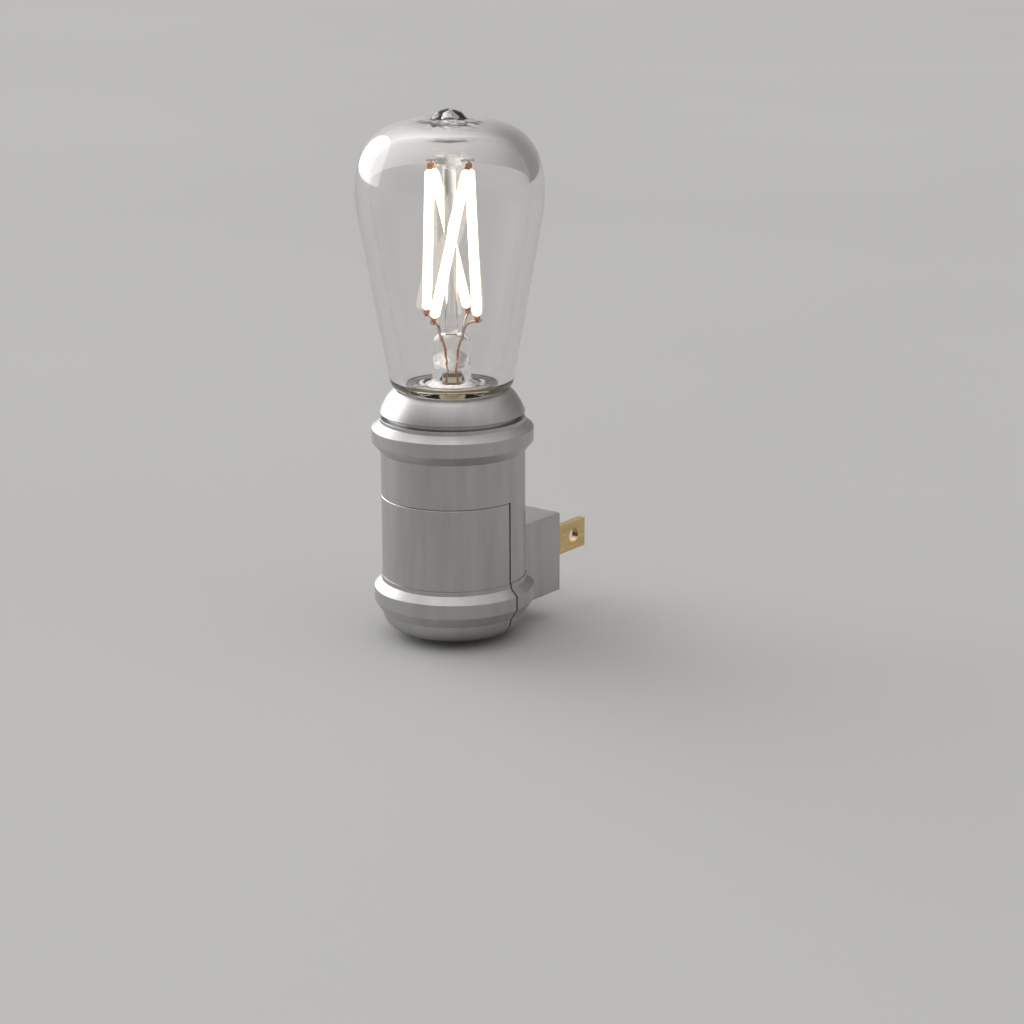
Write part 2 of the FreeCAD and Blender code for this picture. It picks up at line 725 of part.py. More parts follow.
def lead_wires(side):
    """Two wires from one side of the press to the feet on that side"""
    wires = []
    for ends in filament_ends():
        if ends[0] * side < 0:
            continue
        foot, top, along = filament_line(ends)
        end = foot - along * TAB_LENGTH
        depth = 1 if ends[1] > 0 else -1
        start = cage_point(side * LEAD_ACROSS, depth * LEAD_FRONT, PRESS_TOP_Z)
        rise = cage_point(side * LEAD_ACROSS, depth * LEAD_FRONT, PRESS_TOP_Z + LEAD_RISE)
        under = end - along * LEAD_HOOK
        wires.append(bent_wire([start, rise, tuple(under), tuple(end)], WIRE_RADIUS, LEAD_BEND))
    return group(wires)


def top_wires(side):
    """Short wires from the glass button out over the upper tabs on one side"""
    wires = []
    for ends in filament_ends():
        if ends[2] * side < 0:
            continue
        foot, top, along = filament_line(ends)
        end = top + along * TAB_LENGTH
        over = end + along * TOP_WIRE_RISE
        inward = vec(0, AXIS_Y, over.z) - over
        reach = inward.Length - BUTTON_RADIUS - TOP_WIRE_PLAY
        start = over + inward.normalize() * reach
        wires.append(bent_wire([tuple(start), tuple(over), tuple(end)], WIRE_RADIUS, TOP_WIRE_BEND))
    return group(wires)


def plug_face():
    width, height = face_opening()
    plate = block(
        (-width + FACE_PLAY, -FACE_THICKNESS, -height + FACE_PLAY),
        (width - FACE_PLAY, 0, height - FACE_PLAY),
    )
    for side in (-1, 1):
        x = side * BLADE_PITCH / 2
        half = BLADE_THICKNESS / 2 + BLADE_PLAY
        tall = BLADE_HEIGHT / 2 + BLADE_PLAY
        low = (x - half, -FACE_THICKNESS - OVERCUT, -tall)
        plate = plate.cut(block(low, (x + half, OVERCUT, tall)))
    return plate


def blade(side):
    """Flat blade with a drilled tip, a shoulder behind the face and a solder tail"""
    half = BLADE_THICKNESS / 2
    tall = BLADE_HEIGHT / 2
    shoulder = tall + BLADE_SHOULDER
    shoulder_y = -FACE_THICKNESS - BLADE_SHOULDER_LENGTH
    tail_y = shoulder_y - BLADE_TAIL_LENGTH
    bar = block((-half, shoulder_y, -tall), (half, BLADE_LENGTH, tall))
    tip_edges = []
    for edge in bar.Edges:
        ends = edge.Vertexes
        if min(ends[0].Y, ends[1].Y) > BLADE_LENGTH - BLADE_TIP_FIND:
            tip_edges.append(edge)
    bar = bar.makeChamfer(BLADE_TIP_BEVEL, tip_edges)
    bar = bar.fuse(block((-half, shoulder_y, -shoulder), (half, -FACE_THICKNESS, shoulder)))
    tail = BLADE_TAIL_HEIGHT / 2
    bar = bar.fuse(block((-half, tail_y, -tail), (half, shoulder_y, tail)))
    hole = Part.makeCylinder(
        BLADE_HOLE_RADIUS, 2 * BLADE_THICKNESS, vec(-BLADE_THICKNESS, BLADE_HOLE_REACH, 0), vec(1, 0, 0)
    )
    bar = bar.cut(hole).removeSplitter()
    bar.translate(vec(side * BLADE_PITCH / 2, 0, 0))
    return bar


def driver_board():
    return block(
        (-BOARD_HALF_WIDTH, BOARD_FRONT_Y, BOARD_FOOT_Z),
        (BOARD_HALF_WIDTH, BOARD_REAR_Y, BOARD_TOP_Z),
    )


def boxed_part(size, place, front):
    """A moulded component that lies on the board, centred at place = (x, z)"""
    x, z = place
    y = BOARD_FRONT_Y - size[1] if front else BOARD_REAR_Y
    return block(
        (x - size[0] / 2, y, z - size[2] / 2),
        (x + size[0] / 2, y + size[1], z + size[2] / 2),
    )


def film_capacitor():
    body = boxed_part(FILM_CAPACITOR_SIZE, FILM_CAPACITOR_AT, True)
    return body.makeChamfer(CAPACITOR_EDGE, body.Edges)


def electrolytic_capacitor():
    """Aluminium can with a rolled groove near its foot, standing on the board"""
    x, z = ELECTROLYTIC_AT
    length = ELECTROLYTIC_LENGTH
    base = vec(x, BOARD_FRONT_Y, z)
    out = vec(0, -1, 0)
    can = Part.makeCylinder(ELECTROLYTIC_RADIUS, length, base, out)
    can = can.makeChamfer(CAPACITOR_EDGE, round_edges(can))
    groove = Part.makeCylinder(
        ELECTROLYTIC_RADIUS + OVERCUT, GROOVE_WIDTH, base + out * GROOVE_FROM_FOOT, out
    )
    core = Part.makeCylinder(ELECTROLYTIC_RADIUS - GROOVE_DEPTH, length, base, out)
    return can.cut(groove.cut(core))


def span(start, end):
    """The lower and the higher of two places"""
    return min(start, end), max(start, end)


def leg(x, face, out, edge, row, body_depth):
    """One gull-wing leg: a foot on the board and a rise up the side of its package"""
    tuck = edge - row * LEG_TUCK
    foot_y = span(face, face + out * LEG_THICKNESS)
    rise_y = span(face, face + out * (body_depth / 2 + LEG_STANDOFF))
    foot_z = span(tuck, edge + row * LEG_REACH)
    rise_z = span(tuck, edge + row * LEG_RISE_DEPTH)
    half = LEG_WIDTH / 2
    foot = block((x - half, foot_y[0], foot_z[0]), (x + half, foot_y[1], foot_z[1]))
    return foot.fuse(block((x - half, rise_y[0], rise_z[0]), (x + half, rise_y[1], rise_z[1])))


def legged_chip(size, place, front, legs, pitch):
    """A flat package with gull-wing legs down both sides"""
    body = boxed_part(size, place, front)
    x, z = place
    out = -1 if front else 1
    face = BOARD_FRONT_Y if front else BOARD_REAR_Y
    body.translate(vec(0, out * LEG_STANDOFF, 0))
    for row in (-1, 1):
        for i in range(legs):
            at = x + (i - (legs - 1) / 2) * pitch
            body = body.fuse(leg(at, face, out, z + row * size[2] / 2, row, size[1]))
    return body.removeSplitter()


def fuse_resistor():
    """Axial part held off the board by its two bent leads"""
    x, z = FUSE_AT
    y = BOARD_REAR_Y + FUSE_RADIUS + FUSE_STANDOFF
    body = Part.makeCylinder(FUSE_RADIUS, FUSE_LENGTH, vec(x - FUSE_LENGTH / 2, y, z), vec(1, 0, 0))
    body = body.makeChamfer(FUSE_EDGE, round_edges(body))
    for side in (-1, 1):
        reach = x + side * (FUSE_LENGTH / 2 + FUSE_LEAD_REACH)
        route = [(x, y, z), (reach, y, z), (reach, BOARD_REAR_Y, z)]
        lead = bent_wire(route, FUSE_LEAD_RADIUS, FUSE_LEAD_BEND)
        body = body.fuse(lead)
    return body


def sensor_lens():
    """Clear window with a flange behind the cover's floor"""
    y = AXIS_Y - SENSOR_FORWARD
    window = drum(LENS_RADIUS, FLOOR_Z - LENS_PROUD, FLOOR_TOP_Z, y=y)
    rim = [edge for edge in round_edges(window) if edge.BoundBox.ZMax < FLOOR_Z]
    window = window.makeChamfer(LENS_BEVEL, rim)
    flange = drum(LENS_RADIUS + LENS_FLANGE, FLOOR_TOP_Z, FLOOR_TOP_Z + LENS_FLANGE_THICKNESS, y=y)
    return window.fuse(flange)


def photocell():
    """Round cell on two legs that run back to the board"""
    y = AXIS_Y - SENSOR_FORWARD
    foot = FLOOR_TOP_Z + LENS_FLANGE_THICKNESS
    cell = drum(CELL_RADIUS, foot, foot + CELL_HEIGHT, y=y)
    rise = BOARD_FOOT_Z + CELL_LEG_FROM_FOOT
    for side in (-1, 1):
        x = side * CELL_LEG_PITCH / 2
        route = [(x, y, foot + CELL_HEIGHT / 2), (x, y, rise), (x, BOARD_FRONT_Y, rise)]
        cell = cell.fuse(bent_wire(route, CELL_LEG_RADIUS, CELL_LEG_BEND))
    return cell


def switch_middle():
    return AXIS_Y + SWITCH_BACK


def switch_case():
    """Five-sided box over the slot that guides the slider's base"""
    y = switch_middle()
    inner_length = SLIDER_BASE_HALF_LENGTH + SWITCH_TRAVEL + SLIDER_PLAY
    inner_width = SLIDER_BASE_HALF_WIDTH + SLIDER_PLAY
    outer_length = inner_length + SWITCH_CASE_WALL
    outer_width = inner_width + SWITCH_CASE_WALL
    top = FLOOR_TOP_Z + SWITCH_CASE_HEIGHT
    case = block((-outer_length, y - outer_width, FLOOR_TOP_Z), (outer_length, y + outer_width, top))
    room = block(
        (-inner_length, y - inner_width, FLOOR_TOP_Z - OVERCUT),
        (inner_length, y + inner_width, FLOOR_TOP_Z + SLIDER_BASE_HEIGHT + 2 * SLIDER_PLAY),
    )
    case = case.cut(room)
    for i in (-1, 0, 1):
        x = i * SWITCH_PIN_PITCH
        pin = drum(SWITCH_PIN_RADIUS, top - SWITCH_PIN_ROOT, top + SWITCH_PIN_LENGTH, x, y)
        case = case.fuse(pin)
    return case


def switch_slider():
    """Grooved knob through the slot, on a wider base inside the case"""
    y = switch_middle()
    base_foot = FLOOR_TOP_Z + SLIDER_PLAY
    base = block(
        (-SLIDER_BASE_HALF_LENGTH, y - SLIDER_BASE_HALF_WIDTH, base_foot),
        (SLIDER_BASE_HALF_LENGTH, y + SLIDER_BASE_HALF_WIDTH, base_foot + SLIDER_BASE_HEIGHT),
    )
    knob = block(
        (-SLIDER_HALF_LENGTH, y - SLIDER_HALF_WIDTH, FLOOR_Z - SLIDER_PROUD),
        (SLIDER_HALF_LENGTH, y + SLIDER_HALF_WIDTH, base_foot + SLIDER_PLAY),
    )
    tip = FLOOR_Z - SLIDER_PROUD
    reach = SLIDER_HALF_WIDTH + OVERCUT
    for i in (-1, 0, 1):
        x = i * SLIDER_GROOVE_PITCH
        knob = knob.cut(block(
            (x - SLIDER_GROOVE, y - reach, tip - OVERCUT),
            (x + SLIDER_GROOVE, y + reach, tip + SLIDER_GROOVE),
        ))
    return base.fuse(knob)


def blade_wire(side):
    """From a blade's solder tail to the back of the board"""
    x = side * BLADE_PITCH / 2
    tail_y = -FACE_THICKNESS - BLADE_SHOULDER_LENGTH - BLADE_TAIL_LENGTH
    route = [
        (x, tail_y, 0),
        (x, tail_y - HOOKUP_STRAIGHT, 0),
        (x, BOARD_REAR_Y + HOOKUP_STRAIGHT, BLADE_WIRE_Z),
        (x, BOARD_REAR_Y, BLADE_WIRE_Z),
    ]
    return bent_wire(route, HOOKUP_RADIUS, HOOKUP_BEND)


def bulb_wires():
    """From the board's front up to the ends of the two seal wires"""
    wires = []
    for side in (-1, 1):
        x, y, z = cage_point(side * SEAL_ACROSS, 0, 0)
        at = side * BULB_WIRE_X
        height = BOARD_TOP_Z - BULB_WIRE_DROP
        route = [
            (x, y, SEAL_END_Z),
            (x, y, BULB_WIRE_TURN_Z),
            (at, BOARD_FRONT_Y - HOOKUP_STRAIGHT, height),
            (at, BOARD_FRONT_Y, height),
        ]
        wires.append(bent_wire(route, HOOKUP_RADIUS, BULB_WIRE_BEND))
    return group(wires)


def main():
    os.makedirs("parts", exist_ok=True)
    save("rear_shell", rear_shell())
    save("front_cover", front_cover())
    save("top_cap", top_cap())
    save("plug_face", plug_face())
    save("blade_left", blade(-1))
    save("blade_right", blade(1))
    save("bulb_seat", bulb_seat())
    save("bulb_cement", bulb_cement())
    save("bulb_glass", bulb_glass())
    save("stem_glass", stem_glass())
    save("support_rod", support_rod())
    save("seal_wires", seal_wires())
    save("lead_wire_left", lead_wires(-1))
    save("lead_wire_right", lead_wires(1))
    save("top_wire_left", top_wires(-1))
    save("top_wire_right", top_wires(1))
    for number, ends in enumerate(filament_ends(), 1):
        save("filament_" + str(number), filament(ends))
    save("filament_tabs", filament_tabs())
    save("driver_board", driver_board())
    save("film_capacitor", film_capacitor())
    save("electrolytic_capacitor", electrolytic_capacitor())
    save("driver_chip", legged_chip(CHIP_SIZE, CHIP_AT, True, CHIP_LEGS, CHIP_LEG_PITCH))
    save("bridge_rectifier", legged_chip(BRIDGE_SIZE, BRIDGE_AT, False, BRIDGE_LEGS, BRIDGE_LEG_PITCH))
    save("fuse_resistor", fuse_resistor())
    save("photocell", photocell())
    save("sensor_lens", sensor_lens())
    save("switch_case", switch_case())
    save("switch_slider", switch_slider())
    save("live_wire", blade_wire(1))
    save("neutral_wire", blade_wire(-1))
    save("bulb_wires", bulb_wires())


main()
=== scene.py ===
import json
import math

import bmesh
import bpy
from mathutils import Matrix, Vector, noise


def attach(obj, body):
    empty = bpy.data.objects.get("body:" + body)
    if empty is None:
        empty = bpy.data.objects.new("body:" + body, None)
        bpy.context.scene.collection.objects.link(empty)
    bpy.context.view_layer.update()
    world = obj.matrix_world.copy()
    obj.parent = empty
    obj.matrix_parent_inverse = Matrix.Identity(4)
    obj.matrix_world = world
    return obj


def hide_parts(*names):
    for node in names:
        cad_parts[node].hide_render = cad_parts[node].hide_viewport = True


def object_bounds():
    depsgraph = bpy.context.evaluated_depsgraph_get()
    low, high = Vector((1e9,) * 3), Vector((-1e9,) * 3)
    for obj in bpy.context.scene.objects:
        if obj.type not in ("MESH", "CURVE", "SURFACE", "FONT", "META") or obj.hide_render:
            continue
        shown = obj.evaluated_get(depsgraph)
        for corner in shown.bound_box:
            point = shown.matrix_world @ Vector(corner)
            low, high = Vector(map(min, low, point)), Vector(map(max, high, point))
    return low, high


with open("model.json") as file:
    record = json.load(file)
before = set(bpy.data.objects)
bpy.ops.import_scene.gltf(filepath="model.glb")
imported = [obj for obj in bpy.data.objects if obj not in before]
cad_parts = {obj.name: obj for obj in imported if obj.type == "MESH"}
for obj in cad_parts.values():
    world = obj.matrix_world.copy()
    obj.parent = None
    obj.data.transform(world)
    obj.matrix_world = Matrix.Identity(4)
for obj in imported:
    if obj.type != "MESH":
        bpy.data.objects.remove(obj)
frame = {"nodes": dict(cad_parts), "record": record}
cad_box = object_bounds()

# The camera that took the photograph, in the frame's axes
CAMERA_AT = (0.29554, -0.38878, 0.14421)
CAMERA_AZIMUTH = 37.313
CAMERA_ELEVATION = 15.728
CAMERA_ROLL = -0.24
CAMERA_LENS = 83.155
CAMERA_SENSOR = 36

# One millimetre in metres, and the radius in millimetres under which a turned point is on the axis
MM = 0.001
ON_AXIS = 1e-6

# Housing. Sizes are in millimetres and follow the part's source, apart from the numbers of steps and
# turns, and from what is said to be the scene's own
AXIS_Y = -21.0
TUBE_RADIUS = 14.9
TUBE_BORE = 13.1
WALL = 1.8
FLOOR_Z = -13.1
FLOOR_FLAT_RADIUS = 9.6
UNDERSIDE_REACH = 14.6
LIP_RADIUS = 15.1
BEAD_ROOT_RADIUS = 15.25
BEAD_RADIUS = 16.65
LOWER_FOOT_Z = -8.8
LOWER_BAND_Z = -6.6
LOWER_BAND_TOP_Z = -3.75
LOWER_LIP_Z = -2.2
TUBE_START_Z = -1.3
PARTING_Z = 15.9
TUBE_END_Z = 25.05
UPPER_BAND_Z = 27.1
UPPER_BAND_TOP_Z = 29.9
UPPER_LIP_Z = 31.2
SLEEVE_TOP_Z = 32.05
SEAM_GAP = 0.14
SEAM_BEVEL = 0.25

# The scene's own rounding of the housing's corners, its overlaps, and the sharpest smooth angle
TURNS = 192
UNDERSIDE_STEPS = 18
DOME_STEPS = 20
CORNER_STEPS = 6
CORNER_RUN = 0.1
FLAT_END = 0.5
BEAD_FILLET = 0.32
LIP_FILLET = 0.2
SLEEVE_FILLET = 0.15
CAP_EDGE_BREAK = 0.15
CAP_RIM_FILLET = 0.35
SEAT_MOUTH_FILLET = 0.12
SEAM_CHAMFER = 0.2
BLOCK_ROOT = 0.5
BLOCK_HOLLOW_FRONT = 4.0
OVERCUT = 1.0
SHARP_ANGLE = 28

# Collar and seat disc
CAP_EDGE_Z = 32.95
CAP_DOME_REACH = 14.3
CAP_DOME_RISE_Z = 34.9
CAP_SHOULDER_RADIUS = 12.8
CAP_SHOULDER_Z = 36.85
CAP_RIM_RADIUS = 11.6
CAP_RIM_Z = 37.9
CAP_SKIRT_RADIUS = 13.75
CAP_SKIRT_BORE = 12.15
CAP_LEDGE_Z = 28.0
CAP_ROOF = 1.5
SEAT_RADIUS = 10.5
SEAT_LEDGE_RADIUS = 9.1
SEAT_FOOT_Z = 36.5
SEAT_TOP_Z = 37.5
PLAY = 0.15

# The scene's own detail on the seat disc
SEAT_TURNS = 128
SEAT_HOLE_TURNS = 24
SEAT_EDGE = 0.25
SEAT_RIM = 1.5
SEAT_STEP = 0.12
SEAT_STEP_RUN = 0.2
SEAT_WIRE_HOLE = 0.42
SEAT_MARK_ACROSS = 4.75
SEAT_MARK_RADIUS = 0.45
SEAT_MARK_DEPTH = 0.6

# Plug block, and the openings in the housing
BLOCK_HALF_WIDTH = 11.9
BLOCK_HALF_HEIGHT = 8.55
BLOCK_EDGE = 0.35
BLOCK_EDGE_STEPS = 4
FACE_HALF_WIDTH = 10.1
FACE_HALF_HEIGHT = 6.75
FACE_THICKNESS = 2.0
FACE_LEDGE = 1.0
LENS_HOLE_RADIUS = 2.75
LENS_HOLE_TURNS = 64
SENSOR_FORWARD = 5.6
SWITCH_BACK = 5.6
SLOT_HALF_LENGTH = 4.0
SLOT_HALF_WIDTH = 1.25

# Glass of the bulb, and how far its filaments and press are turned about the axis, in degrees
CAGE_TURN = 37.3
GLASS_WALL = 2.9
GLASS_FOOT_Z = 37.7
GLASS_FLOOR_Z = 39.2
FOOT_CORNER = 2.45
CAVITY_CORNER = 1.2
FOOT_HOLE_RADIUS = 3.2
NECK_RADIUS = 12.65
NECK_Z = 39.4
BULB_RADIUS = 19.0
BELLY_RADIUS = 32.3
WIDEST_Z = 78.3
CROWN_Z = 92.4
CROWN_FULLNESS = 0.68
TIP_BASE_RADIUS = 3.9
TIP_RADIUS = 3.0
TIP_Z = 94.4

# The scene's own thin-walled, lumpy tip, and how finely the glass is turned
TIP_WALL = 1.3
TIP_LUMP_CORE = 0.6
TIP_LUMP_RATE = 0.9
TIP_LUMP_HEIGHT = 0.26
TIP_LUMP_DIP = 0.45
TIP_LUMP_PLACE = 3
TIP_LUMP_MARGIN = 1
GLASS_TURNS = 160
FOOT_STEPS = 12
NECK_STEPS = 16
BELLY_STEPS = 12
CROWN_STEPS = 40
TIP_STEPS = 14

# Stem, press, rod and button
STEM_RADIUS = 4.0
STEM_WALL = 0.9
FLARE_RADIUS = 5.6
FLARE_HEIGHT = 1.6
PRESS_Z = 42.3
PRESS_TOP_Z = 49.7
PRESS_HALF_WIDTH = 3.8
PRESS_HALF_DEPTH = 1.7
ROD_RADIUS = 1.25
BUTTON_Z = 83.7
BUTTON_TOP_Z = 86.3
BUTTON_RADIUS = 3.0

# The scene's own shaping of the stem, the press, the rod and its button
STEM_TURNS = 64
STEM_BORE_TOP = 1.2
FLARE_STEPS = 8
FLARE_LIP = 0.02
FLARE_PULL_OUT = 0.4
FLARE_PULL_UP = 0.3
PRESS_LEAD_IN = 0.3
PRESS_STEPS = 44
PRESS_SQUEEZE_SHARE = 0.5
HEAD_SHARE = 0.72
HEAD_ROUNDNESS = 0.985
HEAD_WIDTH_LEFT = 0.35
HEAD_DEPTH_LEFT = 0.3
LUMP_SHARE = 0.22
LUMP_REACH = 0.28
LUMP_HEIGHT = 0.22
LUMP_SIZE = 1.3
LUMP_STRETCH = 1.8
ROD_FOOT_FLARE = 0.25
ROD_FOOT_RISE = 0.8
BUTTON_NECK_FLARE = 0.3
BUTTON_NECK_RISE = 1.0
BUTTON_NECK_TOP = 0.1
BUTTON_EDGE = 0.9
BUTTON_STEPS = 8

# Filaments and wires
FILAMENT_RADIUS = 1.0
FILAMENT_FOOT_Z = 53.65
FILAMENT_TOP_Z = 82.8
FOOT_ACROSS = 4.3
FOOT_FRONT = 4.6
FOOT_TWIST = -12.0
TOP_ACROSS = 3.95
TOP_LEAN = 0.5
TOP_NEAR = 0.1
TOP_FAR = 2.2
TAB_LENGTH = 1.3
WIRE_RADIUS = 0.28
LEAD_ACROSS = 2.2
LEAD_FRONT = 0.7
SEAL_ACROSS = 1.2
SEAL_END_Z = 35.4

# The scene's own course of the wires
LEAD_ROOT_DEPTH = 1.6
LEAD_RISE = 1.2
LEAD_SPREAD = 1.1
LEAD_SPREAD_FRONT = 1.4
LEAD_ARCH = 0.55
HOOK_LAP = 0.25
HOOK_REACH = 1.1
TOP_WIRE_RISE = 0.7
TOP_WIRE_REACH = 0.9
BUTTON_GRIP = 0.6
SEAL_BEND_RISE = 3.0
SEAL_SPREAD_RISE = 4.6
SEAL_SPREAD_SHARE = 0.8
SEAL_TOP_DEPTH = 1.2

# Strength of the filaments, and of the soft room: its level all round, and its glows,
# each as azimuth, elevation, the cosine where it starts, strength
FILAMENT_GLOW = 2.5
ROOM_LIGHT = 0.26
ROOM_GLOWS = (
    (-95, 12, 0.4, 0.6),
    (105, 12, 0.5, 0.3),
    (-30, 85, 0.3, 0.65),
)

# The floor, in metres
FLOOR_HALF_SIZE = 4.0
FLOOR_GAP = 0.00005

# The part of a noise's range that is spread over a finish, and how many grains wide its clouds are
NOISE_LOW = 0.3
NOISE_HIGH = 0.7
CLOUD_GRAINS = 8


# Small geometry helpers
def arc(centre, radius, first, last, steps):
    """Points along an arc in a turned outline"""
    points = []
    for i in range(steps + 1):
        angle = first + (last - first) * i / steps
        points.append((centre[0] + radius * math.cos(angle), centre[1] + radius * math.sin(angle)))
    return points


def cubic(start, first, second, end, steps):
    """Points along a soft corner drawn by two handles"""
    points = []
    for i in range(steps + 1):
        t = i / steps
        shares = ((1 - t) ** 3, 3 * t * (1 - t) ** 2, 3 * t ** 2 * (1 - t), t ** 3)
        corners = zip(start, first, second, end)
        points.append(tuple(sum(k * v for k, v in zip(shares, axis)) for axis in corners))
    return points


def handle(end, corner):
    """A handle two thirds of the way from an end of a curve to the corner that it rounds"""
    return tuple(a + (b - a) * 2 / 3 for a, b in zip(end, corner))


def cage_point(across, front, z):
    """A point inside the bulb, given across and towards the viewer of the turned cage"""
    turn = math.radians(CAGE_TURN)
    x = across * math.cos(turn) + front * math.sin(turn)
    y = across * math.sin(turn) - front * math.cos(turn)
    return Vector((x, AXIS_Y + y, z)) * MM


def mesh_object(name, points, faces):
    """A smooth-shaded mesh from its points and faces"""
    mesh = bpy.data.meshes.new(name)
    mesh.from_pydata(points, [], faces)
    mesh.validate()
    for face in mesh.polygons:
        face.use_smooth = True
    made = bpy.data.objects.new(name, mesh)
    bpy.context.scene.collection.objects.link(made)
    return made


def lathe(name, outline, turns, uneven=None):
    """Turn an open outline of (radius, z), in millimetres, about the body's axis"""
    points = []
    rings = []
    for radius, z in outline:
        if radius < ON_AXIS:
            rings.append([len(points)])
            points.append(Vector((0, AXIS_Y, z)) * MM)
            continue
        rings.append(list(range(len(points), len(points) + turns)))
        for i in range(turns):
            angle = 2 * math.pi * i / turns
            spot = Vector((radius * math.cos(angle), AXIS_Y + radius * math.sin(angle), z))
            if uneven:
                spot = uneven(spot)
            points.append(spot * MM)
    faces = []
    for low, high in zip(rings, rings[1:]):
        for i in range(turns):
            j = (i + 1) % turns
            if len(low) == 1:
                faces.append((low[0], high[j], high[i]))
            elif len(high) == 1:
                faces.append((low[i], low[j], high[0]))
            else:
                faces.append((low[i], low[j], high[j], high[i]))
    return mesh_object(name, points, faces)


def rounded_bar(name, start, end, radius, turns=32, steps=8):
    """A round bar with domed ends between two points in metres"""
    along = end - start
    length = along.length / MM
    outline = arc((0, radius), radius, -math.pi / 2, 0, steps)
    outline += arc((0, length - radius), radius, 0, math.pi / 2, steps)
    outline[0] = (0, 0)
    outline[-1] = (0, length)
    bar = lathe(name, outline, turns)
    shift = Matrix.Translation(Vector((0, -AXIS_Y * MM, 0)))
    turn = along.to_track_quat("Z", "Y").to_matrix().to_4x4()
    bar.data.transform(Matrix.Translation(start) @ turn @ shift)
    return bar


def wire(name, routes, radius):
    """Round wires that run smoothly through lists of points in metres"""
    curve = bpy.data.curves.new(name, "CURVE")
    curve.dimensions = "3D"
    curve.bevel_depth = radius * MM
    curve.bevel_resolution = 5
    curve.use_fill_caps = True
    curve.resolution_u = 10
    for route in routes:
        spline = curve.splines.new("NURBS")
        spline.points.add(len(route) - 1)
        for point, spot in zip(spline.points, route):
            point.co = (*spot, 1)
        spline.order_u = 3
        spline.use_endpoint_u = True
    made = bpy.data.objects.new(name, curve)
    bpy.context.scene.collection.objects.link(made)
    return made


def place(piece, slot, material, *nodes):
    """Give a new piece its finish and its body, and hide the CAD nodes that it stands for"""
    piece.data.materials.clear()
    piece.data.materials.append(material)
    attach(piece, "root")
    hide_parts(*nodes)


# Materials
def material(name):
    """A new material with its node tree and its shader"""
    made = bpy.data.materials.new(name)
    made.use_nodes = True
    tree = made.node_tree
    return made, tree, tree.nodes["Principled BSDF"]


def grain(tree, scale, stretch, detail):
    """Noise in the object's own coordinates; stretch shortens or lengthens it along each axis"""
    place_node = tree.nodes.new("ShaderNodeTexCoord")
    mapping = tree.nodes.new("ShaderNodeMapping")
    mapping.inputs["Scale"].default_value = stretch
    speckle = tree.nodes.new("ShaderNodeTexNoise")
    speckle.inputs["Scale"].default_value = scale
    speckle.inputs["Detail"].default_value = detail
    tree.links.new(place_node.outputs["Object"], mapping.inputs["Vector"])
    tree.links.new(mapping.outputs["Vector"], speckle.inputs["Vector"])
    return speckle


def between(tree, source, low, high):
    """Spread the middle of a noise's range over another range"""
    spread = tree.nodes.new("ShaderNodeMapRange")
    spread.inputs["From Min"].default_value = NOISE_LOW
    spread.inputs["From Max"].default_value = NOISE_HIGH
    spread.inputs["To Min"].default_value = low
    spread.inputs["To Max"].default_value = high
    tree.links.new(source.outputs["Fac"], spread.inputs["Value"])
    return spread.outputs["Result"]


def tint(tree, source, first, second):
    """Blend two colours by a noise"""
    ramp = tree.nodes.new("ShaderNodeValToRGB")
    ramp.color_ramp.elements[0].position = NOISE_LOW
    ramp.color_ramp.elements[0].color = (*first, 1)
    ramp.color_ramp.elements[1].position = NOISE_HIGH
    ramp.color_ramp.elements[1].color = (*second, 1)
    tree.links.new(source.outputs["Fac"], ramp.inputs["Fac"])
    return ramp.outputs["Color"]


def relief(tree, shader, source, depth_mm, strength):
    """Raise the surface's shading by a noise"""
    bump = tree.nodes.new("ShaderNodeBump")
    bump.inputs["Distance"].default_value = depth_mm * MM
    bump.inputs["Strength"].default_value = strength
    tree.links.new(source.outputs["Fac"], bump.inputs["Height"])
    tree.links.new(bump.outputs["Normal"], shader.inputs["Normal"])


def surface(name, colours, metallic, roughness, grain_size, stretch, relief_mm=0.01, relief_share=0.3):
    """A finish whose colour, roughness and relief vary; grain_size is in millimetres"""
    made, tree, shader = material(name)
    shader.inputs["Metallic"].default_value = metallic
    cloud = grain(tree, 1 / (CLOUD_GRAINS * grain_size * MM), stretch, 3)
    fine = grain(tree, 1 / (grain_size * MM), stretch, 2)
    tree.links.new(tint(tree, cloud, *colours), shader.inputs["Base Color"])
    tree.links.new(between(tree, fine, *roughness), shader.inputs["Roughness"])
    relief(tree, shader, fine, relief_mm, relief_share)
    return made


def satin_nickel():
    """Satin metal with a faint upright grain"""
    colours = ((0.43, 0.425, 0.42), (0.49, 0.485, 0.48))
    upright = (1, 1, 0.12)
    return surface("satin_nickel", colours, 1.0, (0.33, 0.42), 0.35, upright, 0.006, 0.25)


